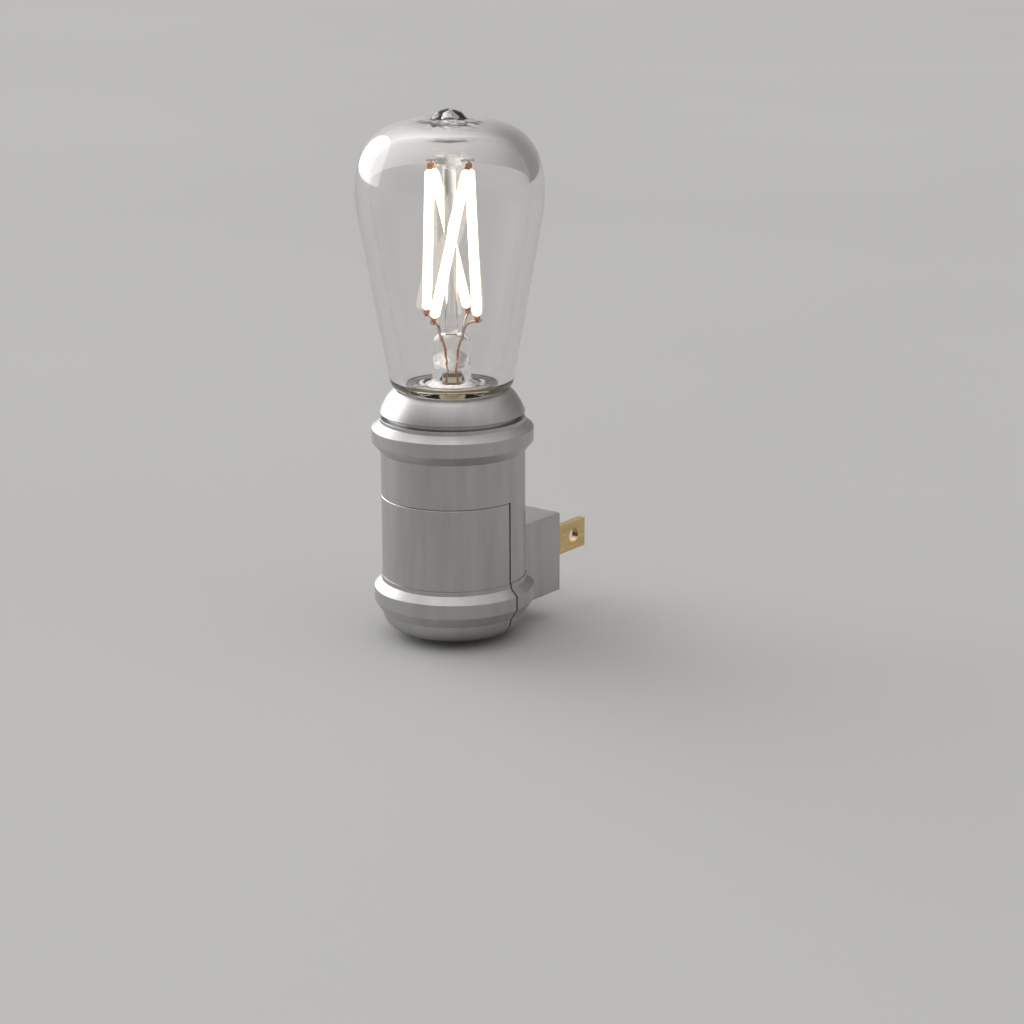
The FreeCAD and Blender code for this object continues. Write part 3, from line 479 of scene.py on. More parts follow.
def clear_glass(name, waviness_mm, wave_size, thick=False):
    """Glass that lets the lamps through; thick glass also takes a little colour with depth"""
    made, tree, shader = material(name)
    shader.inputs["Base Color"].default_value = (0.985, 0.985, 0.985, 1)
    shader.inputs["Transmission Weight"].default_value = 1.0
    shader.inputs["Roughness"].default_value = 0.0
    shader.inputs["IOR"].default_value = 1.5
    waves = grain(tree, 1 / (wave_size * MM), (1, 1, 0.35), 1)
    relief(tree, shader, waves, waviness_mm, 0.4)
    path = tree.nodes.new("ShaderNodeLightPath")
    passing = tree.nodes.new("ShaderNodeBsdfTransparent")
    passing.inputs["Color"].default_value = (0.93, 0.94, 0.94, 1)
    mix = tree.nodes.new("ShaderNodeMixShader")
    tree.links.new(path.outputs["Is Shadow Ray"], mix.inputs["Fac"])
    tree.links.new(shader.outputs["BSDF"], mix.inputs[1])
    tree.links.new(passing.outputs["BSDF"], mix.inputs[2])
    tree.links.new(mix.outputs["Shader"], tree.nodes["Material Output"].inputs["Surface"])
    if thick:
        depth = tree.nodes.new("ShaderNodeVolumeAbsorption")
        depth.inputs["Color"].default_value = (0.80, 0.72, 0.71, 1)
        depth.inputs["Density"].default_value = 40.0
        tree.links.new(depth.outputs["Volume"], tree.nodes["Material Output"].inputs["Volume"])
    return made


def add_glow(finish):
    """Let a phosphor coat shine"""
    shader = finish.node_tree.nodes["Principled BSDF"]
    shader.inputs["Emission Color"].default_value = (1.0, 0.86, 0.62, 1)
    shader.inputs["Emission Strength"].default_value = FILAMENT_GLOW


def grey(level):
    """The same level in red, green and blue"""
    return (level, level, level)


# Darkest and palest colour, metallic, least and most roughness, and grain in millimetres of each slot
FINISHES = {
    "black_plastic": (grey(0.018), grey(0.032), 0.0, (0.42, 0.55), 0.25),
    "cream_plastic": ((0.86, 0.72, 0.48), (0.93, 0.81, 0.58), 0.0, (0.4, 0.6), 0.3),
    "cement": ((0.66, 0.60, 0.48), (0.76, 0.71, 0.60), 0.0, (0.7, 0.9), 0.2),
    "copper_wire": ((0.42, 0.13, 0.06), (0.80, 0.38, 0.20), 1.0, (0.25, 0.5), 0.1),
    "nickel_wire": ((0.46, 0.42, 0.36), (0.62, 0.58, 0.52), 1.0, (0.15, 0.3), 0.2),
    "filament": ((1.0, 0.90, 0.66), (1.0, 0.95, 0.78), 0.0, (0.5, 0.7), 0.4),
    "board": ((0.02, 0.13, 0.05), (0.03, 0.18, 0.07), 0.0, (0.3, 0.45), 0.5),
    "capacitor_film": ((0.45, 0.06, 0.03), (0.55, 0.09, 0.04), 0.0, (0.2, 0.35), 0.6),
    "capacitor_can": ((0.02, 0.025, 0.06), (0.03, 0.04, 0.08), 0.0, (0.25, 0.4), 0.4),
    "fuse_body": ((0.10, 0.28, 0.16), (0.14, 0.34, 0.20), 0.0, (0.35, 0.5), 0.3),
    "cell_face": ((0.50, 0.22, 0.08), (0.60, 0.30, 0.12), 0.0, (0.2, 0.35), 0.3),
    "smoked_plastic": (grey(0.015), grey(0.03), 0.0, (0.06, 0.14), 0.8),
    "switch_metal": (grey(0.40), grey(0.52), 1.0, (0.3, 0.45), 0.3),
    "blade_brass": ((0.62, 0.44, 0.20), (0.74, 0.56, 0.28), 1.0, (0.2, 0.38), 0.15),
    "black_insulation": (grey(0.02), grey(0.035), 0.0, (0.4, 0.55), 0.3),
    "white_insulation": (grey(0.70), grey(0.78), 0.0, (0.4, 0.55), 0.3),
    "red_insulation": ((0.38, 0.02, 0.02), (0.46, 0.03, 0.03), 0.0, (0.4, 0.55), 0.3),
}
# Brushed finishes have their grain drawn out along an axis
BRUSHED = {"blade_brass": (1, 0.1, 1)}


def make_materials():
    """One finish for each material slot of the record, and a lumpier glass for the press"""
    finishes = {
        "satin_nickel": satin_nickel(),
        "clear_glass": clear_glass("clear_glass", 0.02, 6.0, thick=True),
        "press_glass": clear_glass("press_glass", 0.05, 1.5),
    }
    for name, (dark, pale, metallic, roughness, grain_size) in FINISHES.items():
        stretch = BRUSHED.get(name, (1, 1, 1))
        finishes[name] = surface(name, (dark, pale), metallic, roughness, grain_size, stretch)
    add_glow(finishes["filament"])
    return finishes


def finish_cad_nodes(finishes):
    """Give each solid of the frame the finish of its slot"""
    for entry in frame["record"]["subparts"]:
        node = frame["nodes"][entry["node"]]
        node.data.materials.clear()
        node.data.materials.append(finishes[entry["material_slot"]])


# Closed meshes that are joined and cut
def tidy_normals(piece):
    """Merge doubled points and turn all faces outwards"""
    made = bmesh.new()
    made.from_mesh(piece.data)
    bmesh.ops.remove_doubles(made, verts=made.verts, dist=1e-8)
    bmesh.ops.recalc_face_normals(made, faces=made.faces)
    made.to_mesh(piece.data)
    made.free()


def box_mesh(low, high, edge=0.0):
    """A box between two corners in millimetres; its edges along Y are rounded by edge"""
    made = bmesh.new()
    bmesh.ops.create_cube(made, size=1.0)
    for vertex in made.verts:
        for axis in range(3):
            vertex.co[axis] = (high[axis] if vertex.co[axis] > 0 else low[axis]) * MM
    if edge:
        long_edges = [e for e in made.edges if abs(e.verts[0].co.y - e.verts[1].co.y) > MM]
        bmesh.ops.bevel(
            made, geom=long_edges, offset=edge * MM, segments=BLOCK_EDGE_STEPS, profile=0.5, affect="EDGES"
        )
    mesh = bpy.data.meshes.new("box")
    made.to_mesh(mesh)
    made.free()
    box = bpy.data.objects.new("box", mesh)
    bpy.context.scene.collection.objects.link(box)
    return box


def drill(radius, low, high, turns):
    """A closed upright cylinder on the body's axis, to cut with"""
    made = lathe("drill", [(0, low), (radius, low), (radius, high), (0, high)], turns)
    tidy_normals(made)
    return made


def join(piece, cutter, operation):
    """Unite a closed mesh with another one, or cut it, and drop the other one"""
    change = piece.modifiers.new("join", "BOOLEAN")
    change.operation = operation
    change.solver = "EXACT"
    change.object = cutter
    bpy.context.view_layer.update()
    result = bpy.data.meshes.new_from_object(piece.evaluated_get(bpy.context.evaluated_depsgraph_get()))
    piece.modifiers.clear()
    piece.data = result
    bpy.data.objects.remove(cutter)


def soften(piece):
    """Smooth shading that stops at the crisp edges"""
    piece.data.shade_smooth()
    piece.data.set_sharp_from_angle(angle=math.radians(SHARP_ANGLE))


# Housing mouldings: turned outlines with rounded corners, joined and cut
def rounded(outline, radii):
    """Round the corners of an outline; radii maps a corner's number to its radius"""
    points = []
    for k, here in enumerate(outline):
        if k not in radii:
            points.append(here)
            continue
        back = (Vector(outline[k - 1]) - Vector(here)).normalized()
        ahead = (Vector(outline[k + 1]) - Vector(here)).normalized()
        half = back.angle(ahead) / 2
        reach = radii[k] / math.tan(half)
        first = Vector(here) + back * reach
        last = Vector(here) + ahead * reach
        points.append(tuple(first + back * CORNER_RUN))
        for i in range(CORNER_STEPS + 1):
            t = i / CORNER_STEPS
            points.append(tuple((1 - t) ** 2 * first + 2 * t * (1 - t) * Vector(here) + t * t * last))
        points.append(tuple(last + ahead * CORNER_RUN))
    return points


def lower_outline():
    """Outside of the lower body, from the middle of its floor up to the parting line"""
    flat = (FLOOR_FLAT_RADIUS, FLOOR_Z)
    lip = (LIP_RADIUS, LOWER_FOOT_Z)
    corner = (UNDERSIDE_REACH, FLOOR_Z)
    points = [(0, FLOOR_Z), (FLOOR_FLAT_RADIUS - FLAT_END, FLOOR_Z)]
    points += cubic(flat, handle(flat, corner), handle(lip, corner), lip, UNDERSIDE_STEPS)
    bead = [
        (LIP_RADIUS, LOWER_FOOT_Z), (BEAD_ROOT_RADIUS, LOWER_FOOT_Z), (BEAD_RADIUS, LOWER_BAND_Z),
        (BEAD_RADIUS, LOWER_BAND_TOP_Z), (LIP_RADIUS, LOWER_LIP_Z), (LIP_RADIUS, TUBE_START_Z),
        (TUBE_RADIUS, TUBE_START_Z), (TUBE_RADIUS, PARTING_Z),
    ]
    return points[:-1] + rounded(bead, {2: BEAD_FILLET, 3: BEAD_FILLET, 4: LIP_FILLET})


def upper_outline():
    """Outside and inside of the sleeve, from the parting line round to the parting line"""
    bore_step = TUBE_BORE - WALL / 2
    outline = [
        (TUBE_RADIUS, PARTING_Z), (TUBE_RADIUS, TUBE_END_Z), (BEAD_RADIUS, UPPER_BAND_Z),
        (BEAD_RADIUS, UPPER_BAND_TOP_Z), (TUBE_RADIUS, UPPER_LIP_Z), (TUBE_RADIUS, SLEEVE_TOP_Z),
        (CAP_SKIRT_RADIUS + PLAY, SLEEVE_TOP_Z), (CAP_SKIRT_RADIUS + PLAY, CAP_LEDGE_Z),
        (bore_step, CAP_LEDGE_Z), (bore_step, CAP_LEDGE_Z - WALL / 2), (TUBE_BORE, CAP_LEDGE_Z - WALL),
        (TUBE_BORE, PARTING_Z),
    ]
    radii = {1: SLEEVE_FILLET, 2: BEAD_FILLET, 3: BEAD_FILLET, 4: LIP_FILLET, 5: SLEEVE_FILLET}
    return rounded(outline, radii)


def inner_outline():
    """Inside of the lower body, from the parting line down to the middle of its floor"""
    floor_top = FLOOR_Z + WALL
    corner = [(TUBE_BORE, floor_top + WALL), (TUBE_BORE - WALL, floor_top)]
    return [(TUBE_BORE, PARTING_Z)] + corner + [(0, floor_top)]


def turned_point(profile_point, turn, chamfer=0.0):
    """A point of a turned outline after a number of the housing's equal turns, in metres"""
    radius, z = profile_point
    angle = 2 * math.pi * turn / TURNS
    radius = max(0.0, radius - chamfer)
    return Vector((radius * math.cos(angle), AXIS_Y + radius * math.sin(angle), z)) * MM


def strip(faces, number_of, pairs, first, last):
    """Quads between two neighbouring profile points all along a sweep; triangles at the axis"""
    for a, b in pairs:
        for turn in range(first, last):
            corners = ((a, turn), (a, turn + 1), (b, turn + 1), (b, turn))
            unique = list(dict.fromkeys(number_of(*corner) for corner in corners))
            if len(unique) > 2:
                faces.append(tuple(unique))


def plug_block():
    """Square housing that runs from inside the body's wall back to the outlet"""
    mid_wall = (TUBE_BORE + TUBE_RADIUS) / 2
    front = math.sqrt(mid_wall ** 2 - BLOCK_HALF_WIDTH ** 2)
    low_corner = (-BLOCK_HALF_WIDTH, AXIS_Y + front - BLOCK_ROOT, -BLOCK_HALF_HEIGHT)
    block = box_mesh(low_corner, (BLOCK_HALF_WIDTH, 0, BLOCK_HALF_HEIGHT), BLOCK_EDGE)
    reach = BLOCK_HALF_HEIGHT + OVERCUT
    join(block, drill(mid_wall, -reach, reach, TURNS), "DIFFERENCE")
    return block


def rear_moulding(finishes):
    """Full sleeve above the parting line, half tube below it, and the plug block"""
    low = lower_outline()
    profile = low[:-1] + upper_outline() + inner_outline()[1:]
    outer_parting = len(low) - 1
    inner_parting = outer_parting + len(upper_outline()) - 1
    points = []
    numbers = {}

    def number_of(k, turn):
        key = (k, -1 if profile[k][0] < ON_AXIS else turn % TURNS)
        if key not in numbers:
            numbers[key] = len(points)
            points.append(turned_point(profile[k], turn))
        return numbers[key]

    faces = []
    whole = [(k, k + 1) for k in range(len(profile) - 1)]
    sleeve = [(k, k + 1) for k in range(outer_parting, inner_parting)] + [(inner_parting, outer_parting)]
    strip(faces, number_of, whole, 0, TURNS // 2)
    strip(faces, number_of, sleeve, TURNS // 2, TURNS)
    seam = list(range(outer_parting + 1)) + list(range(inner_parting, len(profile)))
    for turn, order in ((0, 1), (TURNS // 2, -1)):
        faces.append(tuple(number_of(k, turn) for k in seam[::order]))
    shell = mesh_object("rear_moulding", points, faces)
    tidy_normals(shell)
    join(shell, plug_block(), "UNION")
    width = FACE_HALF_WIDTH - FACE_LEDGE
    height = FACE_HALF_HEIGHT - FACE_LEDGE
    middle = AXIS_Y + SWITCH_BACK
    hollow = box_mesh((-width, AXIS_Y + BLOCK_HOLLOW_FRONT, -height), (width, OVERCUT, height))
    join(shell, hollow, "DIFFERENCE")
    face_corner = (FACE_HALF_WIDTH, OVERCUT, FACE_HALF_HEIGHT)
    face = box_mesh((-FACE_HALF_WIDTH, -FACE_THICKNESS, -FACE_HALF_HEIGHT), face_corner)
    join(shell, face, "DIFFERENCE")
    slot = box_mesh(
        (-SLOT_HALF_LENGTH, middle - SLOT_HALF_WIDTH, FLOOR_Z - OVERCUT),
        (SLOT_HALF_LENGTH, middle + SLOT_HALF_WIDTH, FLOOR_Z + WALL + OVERCUT),
    )
    join(shell, slot, "DIFFERENCE")
    soften(shell)
    place(shell, "satin_nickel", finishes["satin_nickel"], "rear_shell")


def front_moulding(finishes):
    """Front half of the lower body, with its edges eased along the seams"""
    low = lower_outline()[:-1] + [(TUBE_RADIUS, PARTING_Z - SEAM_GAP / 2 - SEAM_BEVEL)]
    low += [(TUBE_RADIUS - SEAM_BEVEL, PARTING_Z - SEAM_GAP / 2), (TUBE_BORE, PARTING_Z - SEAM_GAP / 2)]
    profile = low + inner_outline()[1:]
    half = TURNS // 2
    points = []
    numbers = {}

    def number_of(k, turn):
        key = (k, -1 if profile[k][0] < ON_AXIS else turn)
        if key not in numbers:
            at_seam = turn in (half, TURNS) and k < len(low) - 1
            point = turned_point(profile[k], turn, SEAM_CHAMFER if at_seam else 0.0)
            point.y = min(point.y, (AXIS_Y - SEAM_GAP) * MM)
            numbers[key] = len(points)
            points.append(point)
        return numbers[key]

    faces = []
    strip(faces, number_of, [(k, k + 1) for k in range(len(profile) - 1)], half, TURNS)
    for turn, order in ((half, 1), (TURNS, -1)):
        faces.append(tuple(number_of(k, turn) for k in range(len(profile))[::order]))
    cover = mesh_object("front_moulding", points, faces)
    tidy_normals(cover)
    hole = drill(LENS_HOLE_RADIUS, FLOOR_Z - OVERCUT, FLOOR_Z + WALL + OVERCUT, LENS_HOLE_TURNS)
    hole.data.transform(Matrix.Translation((0, -SENSOR_FORWARD * MM, 0)))
    join(cover, hole, "DIFFERENCE")
    soften(cover)
    place(cover, "satin_nickel", finishes["satin_nickel"], "front_cover")


def cap_moulding(finishes):
    """Domed collar on its skirt, with the recess for the bulb's seat"""
    outline = [
        (CAP_SKIRT_BORE, CAP_LEDGE_Z), (CAP_SKIRT_RADIUS, CAP_LEDGE_Z), (CAP_SKIRT_RADIUS, CAP_EDGE_Z),
        (TUBE_RADIUS - CAP_EDGE_BREAK, CAP_EDGE_Z),
    ]
    shoulder = (CAP_SHOULDER_RADIUS, CAP_SHOULDER_Z)
    bulge = (CAP_DOME_REACH, CAP_DOME_RISE_Z)
    outline += cubic(
        (TUBE_RADIUS, CAP_EDGE_Z + CAP_EDGE_BREAK), handle((TUBE_RADIUS, CAP_EDGE_Z), bulge),
        handle(shoulder, bulge), shoulder, DOME_STEPS,
    )
    mouth = SEAT_RADIUS + PLAY
    top = [shoulder, (CAP_RIM_RADIUS, CAP_RIM_Z), (mouth, SEAT_TOP_Z + PLAY), (mouth, SEAT_FOOT_Z)]
    outline += rounded(top, {1: CAP_RIM_FILLET, 2: SEAT_MOUTH_FILLET})[1:]
    outline += [
        (SEAT_LEDGE_RADIUS, SEAT_FOOT_Z), (SEAT_LEDGE_RADIUS, SEAT_FOOT_Z - CAP_ROOF),
        (CAP_SKIRT_BORE, SEAT_FOOT_Z - 2 * CAP_ROOF), (CAP_SKIRT_BORE, CAP_LEDGE_Z),
    ]
    cap = lathe("cap_moulding", outline, TURNS)
    tidy_normals(cap)
    soften(cap)
    place(cap, "satin_nickel", finishes["satin_nickel"], "top_cap")


# The clear bulb
def flare_angle():
    """Lean of the neck's straight side, which runs up into the arc of the belly"""
    out = NECK_RADIUS - (BULB_RADIUS - BELLY_RADIUS)
    rise = WIDEST_Z - NECK_Z
    return math.atan2(rise, out) - math.acos(BELLY_RADIUS / math.hypot(out, rise))


def envelope_outline(inset, corner, foot_z):
    """Half-outline of the glass from its foot corner up to the tip, moved in by inset"""
    angle = flare_angle()
    side = NECK_RADIUS + math.tan(angle) * (foot_z + corner - NECK_Z)
    centre = (side - (inset + corner) / math.cos(angle), foot_z + corner)
    outline = arc(centre, corner, -math.pi / 2, -angle, FOOT_STEPS)
    belly = arc((BULB_RADIUS - BELLY_RADIUS, WIDEST_Z), BELLY_RADIUS - inset, -angle, 0, BELLY_STEPS)
    neck_end = outline[-1]
    for i in range(1, NECK_STEPS):
        share = i / NECK_STEPS
        outline.append(tuple(a + (b - a) * share for a, b in zip(neck_end, belly[0])))
    outline += belly
    widest = BULB_RADIUS - inset
    crown = CROWN_Z - inset
    outline += cubic(
        (widest, WIDEST_Z),
        (widest, WIDEST_Z + CROWN_FULLNESS * (crown - WIDEST_Z)),
        (TIP_BASE_RADIUS + CROWN_FULLNESS * (widest - TIP_BASE_RADIUS), crown),
        (TIP_BASE_RADIUS, crown),
        CROWN_STEPS,
    )[1:]
    tip_z = TIP_Z if inset == 0 else TIP_Z - TIP_WALL
    tip_radius = TIP_RADIUS if inset == 0 else TIP_RADIUS - TIP_WALL
    outline += cubic(outline[-1], (tip_radius, crown), (tip_radius, tip_z), (0, tip_z), TIP_STEPS)[1:]
    outline[-1] = (0, tip_z)
    return outline


def melted_tip(point):
    """The sealed tip is a little lumpy, where the glass was drawn off"""
    radius = math.hypot(point.x, point.y - AXIS_Y)
    if point.z < CROWN_Z - GLASS_WALL - TIP_LUMP_MARGIN or radius > 2 * TIP_BASE_RADIUS:
        return point
    share = min(1, max(0, 1 - (radius - TIP_LUMP_CORE * TIP_BASE_RADIUS) / TIP_BASE_RADIUS))
    x, y, z = (value * TIP_LUMP_RATE for value in point)
    lump = noise.noise(Vector((x, y, z + TIP_LUMP_PLACE)))
    drop = TIP_LUMP_HEIGHT * share * (lump - TIP_LUMP_DIP)
    return Vector((point.x, point.y, point.z + drop))


def bulb_envelope(finishes):
    """Thick-walled clear envelope, turned as one closed shape with a hole for the stem"""
    outer = envelope_outline(0, FOOT_CORNER, GLASS_FOOT_Z)
    inner = envelope_outline(GLASS_WALL, CAVITY_CORNER, GLASS_FLOOR_Z)
    hole = [(FOOT_HOLE_RADIUS, GLASS_FLOOR_Z), (FOOT_HOLE_RADIUS, GLASS_FOOT_Z)]
    made = lathe("bulb_envelope", inner[::-1] + hole + outer, GLASS_TURNS, melted_tip)
    place(made, "clear_glass", finishes["clear_glass"], "bulb_glass")


def seat_disc(finishes):
    """Pale disc under the glass, with a shallow step, two small pits and two holes for wires"""
    low = SEAT_FOOT_Z
    top = SEAT_TOP_Z
    outline = [
        (0, low), (SEAT_RADIUS - SEAT_EDGE, low), (SEAT_RADIUS, low + SEAT_EDGE),
        (SEAT_RADIUS, top - SEAT_EDGE), (SEAT_RADIUS - SEAT_EDGE, top), (SEAT_RADIUS - SEAT_RIM, top),
        (SEAT_RADIUS - SEAT_RIM - SEAT_STEP_RUN, top - SEAT_STEP),
        (FOOT_HOLE_RADIUS + SEAT_STEP_RUN, top - SEAT_STEP), (FOOT_HOLE_RADIUS, top), (0, top),
    ]
    disc = lathe("seat_disc", outline, SEAT_TURNS)
    tidy_normals(disc)
    holes = (
        (SEAT_MARK_ACROSS, SEAT_MARK_RADIUS, top - SEAT_MARK_DEPTH),
        (SEAL_ACROSS, SEAT_WIRE_HOLE, low - OVERCUT),
    )
    for across, radius, foot in holes:
        for side in (-1, 1):
            hole = drill(radius, foot, top + OVERCUT, SEAT_HOLE_TURNS)
            hole.data.transform(Matrix.Translation(cage_point(side * across, 0, 0) - cage_point(0, 0, 0)))
            join(disc, hole, "DIFFERENCE")
    soften(disc)
    place(disc, "cream_plastic", finishes["cream_plastic"], "bulb_seat")


def press_ring(half_width, half_depth, z):
    """Points round the stem or the press at one height"""
    ring = []
    for i in range(STEM_TURNS):
        angle = 2 * math.pi * i / STEM_TURNS
        ring.append(cage_point(half_width * math.cos(angle), half_depth * math.sin(angle), z))
    return ring


def press_section(share):
    """Ring of points at a share of the press's height: a tube squeezed flat, with a rounded head"""
    z = PRESS_Z + (PRESS_TOP_Z - PRESS_Z) * share
    squeeze = min(1, share / PRESS_SQUEEZE_SHARE)
    squeeze = squeeze * squeeze * (3 - 2 * squeeze)
    width = STEM_RADIUS + (PRESS_HALF_WIDTH - STEM_RADIUS) * squeeze
    depth = STEM_RADIUS + (PRESS_HALF_DEPTH - STEM_RADIUS) * squeeze
    head = (share - HEAD_SHARE) / (1 - HEAD_SHARE)
    if head > 0:
        round_off = math.sqrt(1 - head * head * HEAD_ROUNDNESS)
        width *= HEAD_WIDTH_LEFT + (1 - HEAD_WIDTH_LEFT) * round_off
        depth *= HEAD_DEPTH_LEFT + (1 - HEAD_DEPTH_LEFT) * round_off
    lumpy = max(0, 1 - abs(share - LUMP_SHARE) / LUMP_REACH)
    centre = cage_point(0, 0, z)
    ring = []
    for point in press_ring(width, depth, z):
        place_in_noise = Vector((point.x, point.y, point.z * LUMP_STRETCH)) / (LUMP_SIZE * MM)
        swell_mm = noise.noise(place_in_noise) * LUMP_HEIGHT * lumpy
        ring.append(point + (point - centre).normalized() * swell_mm * MM)
    return ring


def stem_and_press(finishes):
    """Flared stem tube whose top is squeezed into a flat block with a rounded head"""
    bore = STEM_RADIUS - STEM_WALL
    foot = GLASS_FLOOR_Z
    outline = [(bore, PRESS_Z - STEM_BORE_TOP), (bore, foot), (FLARE_RADIUS, foot)]
    outline += cubic(
        (FLARE_RADIUS, foot + FLARE_LIP), (STEM_RADIUS + FLARE_PULL_OUT, foot + FLARE_PULL_UP),
        (STEM_RADIUS, foot + FLARE_HEIGHT / 2), (STEM_RADIUS, foot + FLARE_HEIGHT), FLARE_STEPS,
    )
    outline.append((STEM_RADIUS, PRESS_Z - PRESS_LEAD_IN))
    rings = [press_ring(radius, radius, z) for radius, z in outline]
    rings += [press_section(i / PRESS_STEPS) for i in range(PRESS_STEPS + 1)]
    points = [point for ring in rings for point in ring]
    faces = []
    for start in range(0, len(points) - STEM_TURNS, STEM_TURNS):
        for i in range(STEM_TURNS):
            j = (i + 1) % STEM_TURNS
            faces.append((start + i, start + j, start + STEM_TURNS + j, start + STEM_TURNS + i))
    faces.append(tuple(range(STEM_TURNS - 1, -1, -1)))
    faces.append(tuple(range(len(points) - STEM_TURNS, len(points))))
    made = mesh_object("stem_and_press", points, faces)
    place(made, "clear_glass", finishes["press_glass"], "stem_glass")


def rod_and_button(finishes):
    """Glass rod on the press, ending in a thick round button"""
    inner = BUTTON_RADIUS - BUTTON_EDGE
    outline = [
        (0, PRESS_TOP_Z), (ROD_RADIUS + ROD_FOOT_FLARE, PRESS_TOP_Z),
        (ROD_RADIUS, PRESS_TOP_Z + ROD_FOOT_RISE), (ROD_RADIUS, BUTTON_Z - BUTTON_NECK_RISE),
        (ROD_RADIUS + BUTTON_NECK_FLARE, BUTTON_Z - BUTTON_NECK_TOP),
    ]
    outline += arc((inner, BUTTON_Z + BUTTON_EDGE), BUTTON_EDGE, -math.pi / 2, 0, BUTTON_STEPS)
    outline += arc((inner, BUTTON_TOP_Z - BUTTON_EDGE), BUTTON_EDGE, 0, math.pi / 2, BUTTON_STEPS)
    outline.append((0, BUTTON_TOP_Z))
    made = lathe("rod_and_button", outline, STEM_TURNS)
    place(made, "clear_glass", finishes["press_glass"], "support_rod")


# Filaments and their wires
def filament_ends():
    """Each filament as (foot across, foot front, top across, top front)"""
    twist = math.radians(FOOT_TWIST)
    tops = {
        (-1, -1): (-TOP_ACROSS, TOP_NEAR),
        (1, -1): (TOP_LEAN - TOP_ACROSS, -TOP_FAR),
        (-1, 1): (TOP_ACROSS - TOP_LEAN, TOP_FAR),
        (1, 1): (TOP_ACROSS, -TOP_NEAR),
    }
    ends = []
    for corner, top in tops.items():
        across = corner[0] * FOOT_ACROSS
        front = corner[1] * FOOT_FRONT
        foot_across = across * math.cos(twist) - front * math.sin(twist)
        foot_front = across * math.sin(twist) + front * math.cos(twist)
        ends.append((foot_across, foot_front) + top)
    return ends


def filament_line(ends):
    """Foot and top of a filament, and the direction from one to the other"""
    foot = cage_point(ends[0], ends[1], FILAMENT_FOOT_Z)
    top = cage_point(ends[2], ends[3], FILAMENT_TOP_Z)
    return foot, top, (top - foot).normalized()


def filaments(finishes):
    """Four straight rods with domed ends"""
    for number, ends in enumerate(filament_ends(), 1):
        foot, top, _ = filament_line(ends)
        made = rounded_bar(f"filament_rod_{number}", foot, top, FILAMENT_RADIUS)
        place(made, "filament", finishes["filament"], f"filament_{number}")


def lead_wires(finishes):
    """Curved wires that fan out of the press and cross the lower tabs"""
    for side, name in ((-1, "left"), (1, "right")):
        routes = []
        for ends in filament_ends():
            if ends[0] * side < 0:
                continue
            foot, _, along = filament_line(ends)
            across = side * LEAD_ACROSS
            front = LEAD_FRONT if ends[1] > 0 else -LEAD_FRONT
            root = cage_point(across, front, PRESS_TOP_Z - LEAD_ROOT_DEPTH)
            rise = cage_point(across * LEAD_SPREAD, front * LEAD_SPREAD_FRONT, PRESS_TOP_Z + LEAD_RISE)
            hook = foot - along * (TAB_LENGTH - HOOK_LAP) * MM
            arch = (rise + hook) / 2 + Vector((0, 0, LEAD_ARCH * MM))
            out = (hook - rise).normalized() * HOOK_REACH * MM
            routes.append([root, rise, arch, hook, hook + out])
        made = wire("lead_wire_pair_" + name, routes, WIRE_RADIUS)
        place(made, "nickel_wire", finishes["nickel_wire"], "lead_wire_" + name)


def top_wires(finishes):
    """Short wires from the glass button out over the upper tabs"""
    for side, name in ((-1, "left"), (1, "right")):
        routes = []
        for ends in filament_ends():
            if ends[2] * side < 0:
                continue
            _, top, along = filament_line(ends)
            over = top + along * (TAB_LENGTH + TOP_WIRE_RISE) * MM
            axis = Vector((0, AXIS_Y * MM, over.z))
            inward = (axis - over).normalized()
            start = axis - inward * (BUTTON_RADIUS - BUTTON_GRIP) * MM
            routes.append([start, over, over - inward * TOP_WIRE_REACH * MM])
            routes.append([over, top + along * TAB_LENGTH * MM])
        made = wire("top_wire_pair_" + name, routes, WIRE_RADIUS)
        place(made, "nickel_wire", finishes["nickel_wire"], "top_wire_" + name)


def seal_wires(finishes):
    """Copper-coloured wires from below the seat up through the press"""
    routes = []
    for side in (-1, 1):
        routes.append([
            cage_point(side * SEAL_ACROSS, 0, SEAL_END_Z),
            cage_point(side * SEAL_ACROSS, 0, PRESS_Z + SEAL_BEND_RISE),
            cage_point(side * LEAD_ACROSS * SEAL_SPREAD_SHARE, 0, PRESS_Z + SEAL_SPREAD_RISE),
            cage_point(side * LEAD_ACROSS, 0, PRESS_TOP_Z - SEAL_TOP_DEPTH),
        ])
    made = wire("seal_wire_pair", routes, WIRE_RADIUS)
    place(made, "copper_wire", finishes["copper_wire"], "seal_wires")


# Stage, light and camera
def build_floor():
    """Pale floor; from below it is clear, so that the underside can be looked at"""
    low = cad_box[0][2] - FLOOR_GAP
    sides = ((-1, -1), (1, -1), (1, 1), (-1, 1))
    corners = [(x * FLOOR_HALF_SIZE, y * FLOOR_HALF_SIZE, low) for x, y in sides]
    floor = mesh_object("floor", corners, [(0, 1, 2, 3)])
    made, tree, shader = material("floor")
    paper = grain(tree, 3.0, (1, 1, 1), 2)
    tree.links.new(tint(tree, paper, (0.48, 0.48, 0.475), (0.50, 0.50, 0.495)), shader.inputs["Base Color"])
    shader.inputs["Roughness"].default_value = 0.9
    shader.inputs["Specular IOR Level"].default_value = 0.1
    side = tree.nodes.new("ShaderNodeNewGeometry")
    clear = tree.nodes.new("ShaderNodeBsdfTransparent")
    mix = tree.nodes.new("ShaderNodeMixShader")
    tree.links.new(side.outputs["Backfacing"], mix.inputs["Fac"])
    tree.links.new(shader.outputs["BSDF"], mix.inputs[1])
    tree.links.new(clear.outputs["BSDF"], mix.inputs[2])
    tree.links.new(mix.outputs["Shader"], tree.nodes["Material Output"].inputs["Surface"])
    floor.data.materials.append(made)


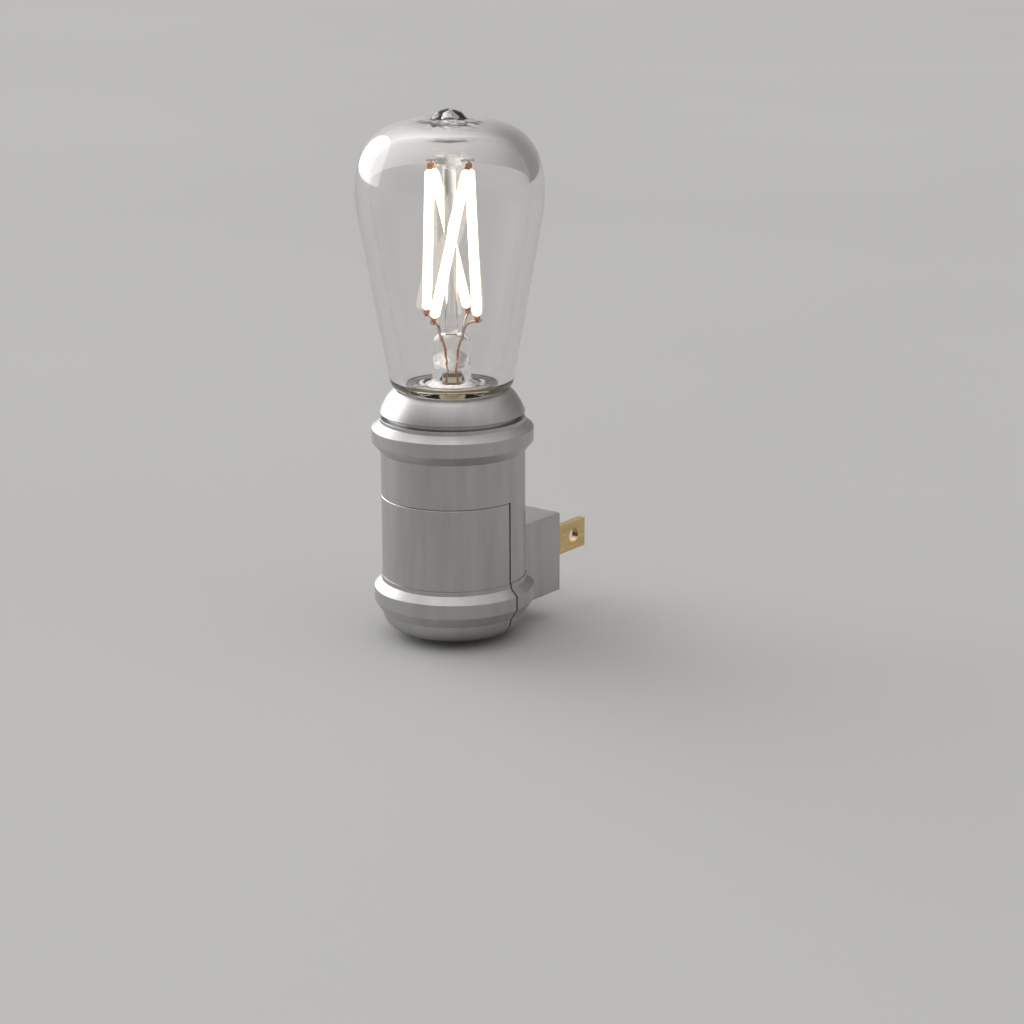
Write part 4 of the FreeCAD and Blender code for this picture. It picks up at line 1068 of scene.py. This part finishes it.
def towards(azimuth, elevation):
    """Direction; azimuth 0 is straight in front of the plug, positive to the right"""
    flat = math.radians(azimuth)
    tilt = math.radians(elevation)
    return Vector((math.sin(flat) * math.cos(tilt), -math.cos(flat) * math.cos(tilt), math.sin(tilt)))


def build_world():
    """A soft room: dim in front, with a bright left side, a paler right side and a bright ceiling"""
    world = bpy.data.worlds.new("studio")
    bpy.context.scene.world = world
    world.use_nodes = True
    tree = world.node_tree
    tree.nodes.clear()
    place_node = tree.nodes.new("ShaderNodeTexCoord")
    level = None
    for azimuth, elevation, start, strength in ROOM_GLOWS:
        across = tree.nodes.new("ShaderNodeVectorMath")
        across.operation = "DOT_PRODUCT"
        across.inputs[1].default_value = towards(azimuth, elevation)
        tree.links.new(place_node.outputs["Generated"], across.inputs[0])
        glow = tree.nodes.new("ShaderNodeMapRange")
        glow.interpolation_type = "SMOOTHSTEP"
        glow.inputs["From Min"].default_value = start
        glow.inputs["From Max"].default_value = 1.0
        glow.inputs["To Min"].default_value = 0.0
        glow.inputs["To Max"].default_value = strength
        tree.links.new(across.outputs["Value"], glow.inputs["Value"])
        total = tree.nodes.new("ShaderNodeMath")
        total.operation = "ADD"
        total.inputs[1].default_value = ROOM_LIGHT
        tree.links.new(glow.outputs["Result"], total.inputs[0])
        if level:
            tree.links.new(level.outputs["Value"], total.inputs[1])
        level = total
    room = tree.nodes.new("ShaderNodeBackground")
    room.inputs["Color"].default_value = (1.0, 0.985, 0.97, 1)
    tree.links.new(level.outputs["Value"], room.inputs["Strength"])
    output = tree.nodes.new("ShaderNodeOutputWorld")
    tree.links.new(room.outputs["Background"], output.inputs["Surface"])


def soft_sun(name, azimuth, elevation, spread, strength):
    """A broad, distant lamp that isn't seen through the glass"""
    lamp = bpy.data.lights.new(name, "SUN")
    lamp.angle = math.radians(spread)
    lamp.energy = strength
    made = bpy.data.objects.new(name, lamp)
    bpy.context.scene.collection.objects.link(made)
    made.location = towards(azimuth, elevation)
    made.rotation_euler = made.location.to_track_quat("Z", "Y").to_euler()
    made.visible_transmission = False


def build_lights():
    """Key light from the left, like the photo's window, and a weak one from above"""
    soft_sun("key", azimuth=-88, elevation=9, spread=64, strength=2.3)
    soft_sun("top", azimuth=-20, elevation=78, spread=50, strength=0.3)


def build_camera():
    """The photograph's camera"""
    lens = bpy.data.cameras.new("camera")
    lens.lens = CAMERA_LENS
    lens.sensor_width = CAMERA_SENSOR
    lens.sensor_fit = "HORIZONTAL"
    lens.clip_start = 0.01
    camera = bpy.data.objects.new("camera", lens)
    bpy.context.scene.collection.objects.link(camera)
    turn = Matrix.Rotation(math.radians(CAMERA_AZIMUTH), 4, "Z")
    tilt = Matrix.Rotation(math.radians(90 - CAMERA_ELEVATION), 4, "X")
    roll = Matrix.Rotation(math.radians(CAMERA_ROLL), 4, "Z")
    camera.matrix_world = Matrix.Translation(CAMERA_AT) @ turn @ tilt @ roll
    bpy.context.scene.camera = camera


def main():
    bpy.context.scene.view_settings.view_transform = "Standard"
    finishes = make_materials()
    finish_cad_nodes(finishes)
    rear_moulding(finishes)
    front_moulding(finishes)
    cap_moulding(finishes)
    seat_disc(finishes)
    bulb_envelope(finishes)
    stem_and_press(finishes)
    rod_and_button(finishes)
    filaments(finishes)
    lead_wires(finishes)
    top_wires(finishes)
    seal_wires(finishes)
    build_floor()
    build_world()
    build_lights()
    build_camera()


main()
